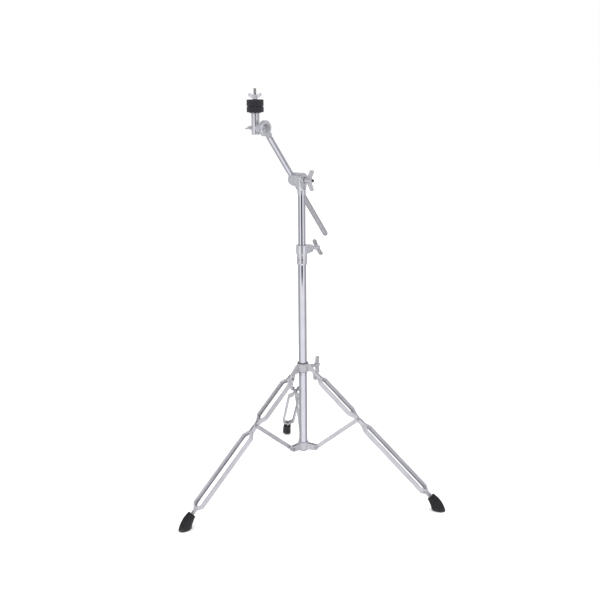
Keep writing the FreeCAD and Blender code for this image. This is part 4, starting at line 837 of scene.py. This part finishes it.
def turned_blank(name, profile, centre, sides=72):
    """A ring-shaped solid from a closed profile turned about an upright line."""
    shape = bmesh.new()
    columns = []
    for side in range(sides):
        angle = 2 * math.pi * side / sides
        columns.append([shape.verts.new((centre.x + r * math.cos(angle), centre.y + r * math.sin(angle), z))
                        for r, z in profile])
    count = len(profile)
    for side in range(sides):
        here, after = columns[side], columns[(side + 1) % sides]
        for i in range(count):
            j = (i + 1) % count
            shape.faces.new((here[i], after[i], after[j], here[j]))
    bmesh.ops.recalc_face_normals(shape, faces=shape.faces)
    mesh = bpy.data.meshes.new(name)
    shape.to_mesh(mesh)
    shape.free()
    made = bpy.data.objects.new(name, mesh)
    bpy.context.scene.collection.objects.link(made)
    return made


# %% Blow it up as cloth
FELT_FRAMES = 14
FELT_PRESSURE = 4.0
FELT_CAP = 1.1 * MM
HELD_DEPTH = 1.2 * MM
HELD_BORE = 8.0 * MM        # radius within which nothing moves


def puffed(piece, centre, held_low, held_high, low, high):
    """A little cloth pressure from inside; the bore and the held faces don't move, and nothing moves far."""
    remesh = piece.modifiers.new("cells", "REMESH")
    remesh.mode = "VOXEL"
    remesh.voxel_size = FELT_VOXEL
    applied(piece)
    start = [vertex.co.copy() for vertex in piece.data.vertices]
    held = piece.vertex_groups.new(name="held")
    for vertex in piece.data.vertices:
        out = math.hypot(vertex.co.x - centre.x, vertex.co.y - centre.y)
        near_low = vertex.co.z < low + HELD_DEPTH and out < held_low
        near_high = vertex.co.z > high - HELD_DEPTH and out < held_high
        if near_low or near_high or out < HELD_BORE:
            held.add([vertex.index], 1.0, "REPLACE")
    cloth = piece.modifiers.new("cloth", "CLOTH")
    cloth.settings.quality = 5
    cloth.settings.mass = 0.4
    cloth.settings.tension_stiffness = 40.0
    cloth.settings.compression_stiffness = 40.0
    cloth.settings.bending_stiffness = 8.0
    cloth.settings.use_pressure = True
    cloth.settings.uniform_pressure_force = FELT_PRESSURE
    cloth.settings.vertex_group_mass = "held"
    cloth.settings.effector_weights.gravity = 0.0
    cloth.point_cache.frame_start = 1
    cloth.point_cache.frame_end = FELT_FRAMES
    for step in range(1, FELT_FRAMES + 1):
        bpy.context.scene.frame_set(step)
    applied(piece)
    bpy.context.scene.frame_set(1)
    moved = 0.0
    for vertex, before in zip(piece.data.vertices, start):
        shift = vertex.co - before
        if shift.length > FELT_CAP:
            shift *= FELT_CAP / shift.length
        moved = max(moved, shift.length)
        vertex.co = before + shift
    return moved


# %% Tease the wool
BARE_RADIUS = 9.0 * MM      # the washer and the nut press the wool flat within this
LUMP_DEPTH = 0.22 * MM
PIT_DEPTH = 0.14 * MM


def teased(piece, centre):
    """Small uneven lumps and pits, the same on every run, as pressed wool has."""
    for vertex in piece.data.vertices:
        out = math.hypot(vertex.co.x - centre.x, vertex.co.y - centre.y)
        if out < BARE_RADIUS:
            continue
        slow = noise.noise(vertex.co * 130.0)
        fine = noise.noise(vertex.co * 620.0)
        vertex.co -= vertex.normal * (LUMP_DEPTH * abs(slow) + PIT_DEPTH * abs(fine))
    for polygon in piece.data.polygons:
        polygon.use_smooth = True


def felt_pad(node, held_low, held_high, name):
    """One felt pad that stands for its plain solid."""
    low, high = (Vector(corner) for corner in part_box(node))
    centre = (low + high) / 2
    bore = reach(node, centre, Vector((0, 0, 1)))[2]
    outer = (high.x - low.x) / 2 - FELT_SHRINK
    profile = felt_profile(outer, bore + BORE_ROOM, low.z + FACE_ROOM, high.z - FACE_ROOM)
    pad = turned_blank(name, profile, centre)
    moved = 0.0
    moved = puffed(pad, centre, held_low, held_high, low.z, high.z)
    smooth = pad.modifiers.new("finer", "SUBSURF")
    smooth.levels = smooth.render_levels = 1
    applied(pad)
    teased(pad, centre)
    kept_inside(pad, node)
    pad.data.materials.clear()
    pad.data.materials.append(FINISHES["black_felt"])
    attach(pad, "seat_post")
    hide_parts(node)
    return pad, moved


for node, held_low, held_high in (("lower_felt", 16.0 * MM, 17.0 * MM), ("upper_felt", 17.0 * MM, 8.0 * MM)):
    pad, moved = felt_pad(node, held_low, held_high, node + "_pad")
    print(pad.name, len(pad.data.vertices), "points, swelled by up to", round(moved / MM, 2), "mm")
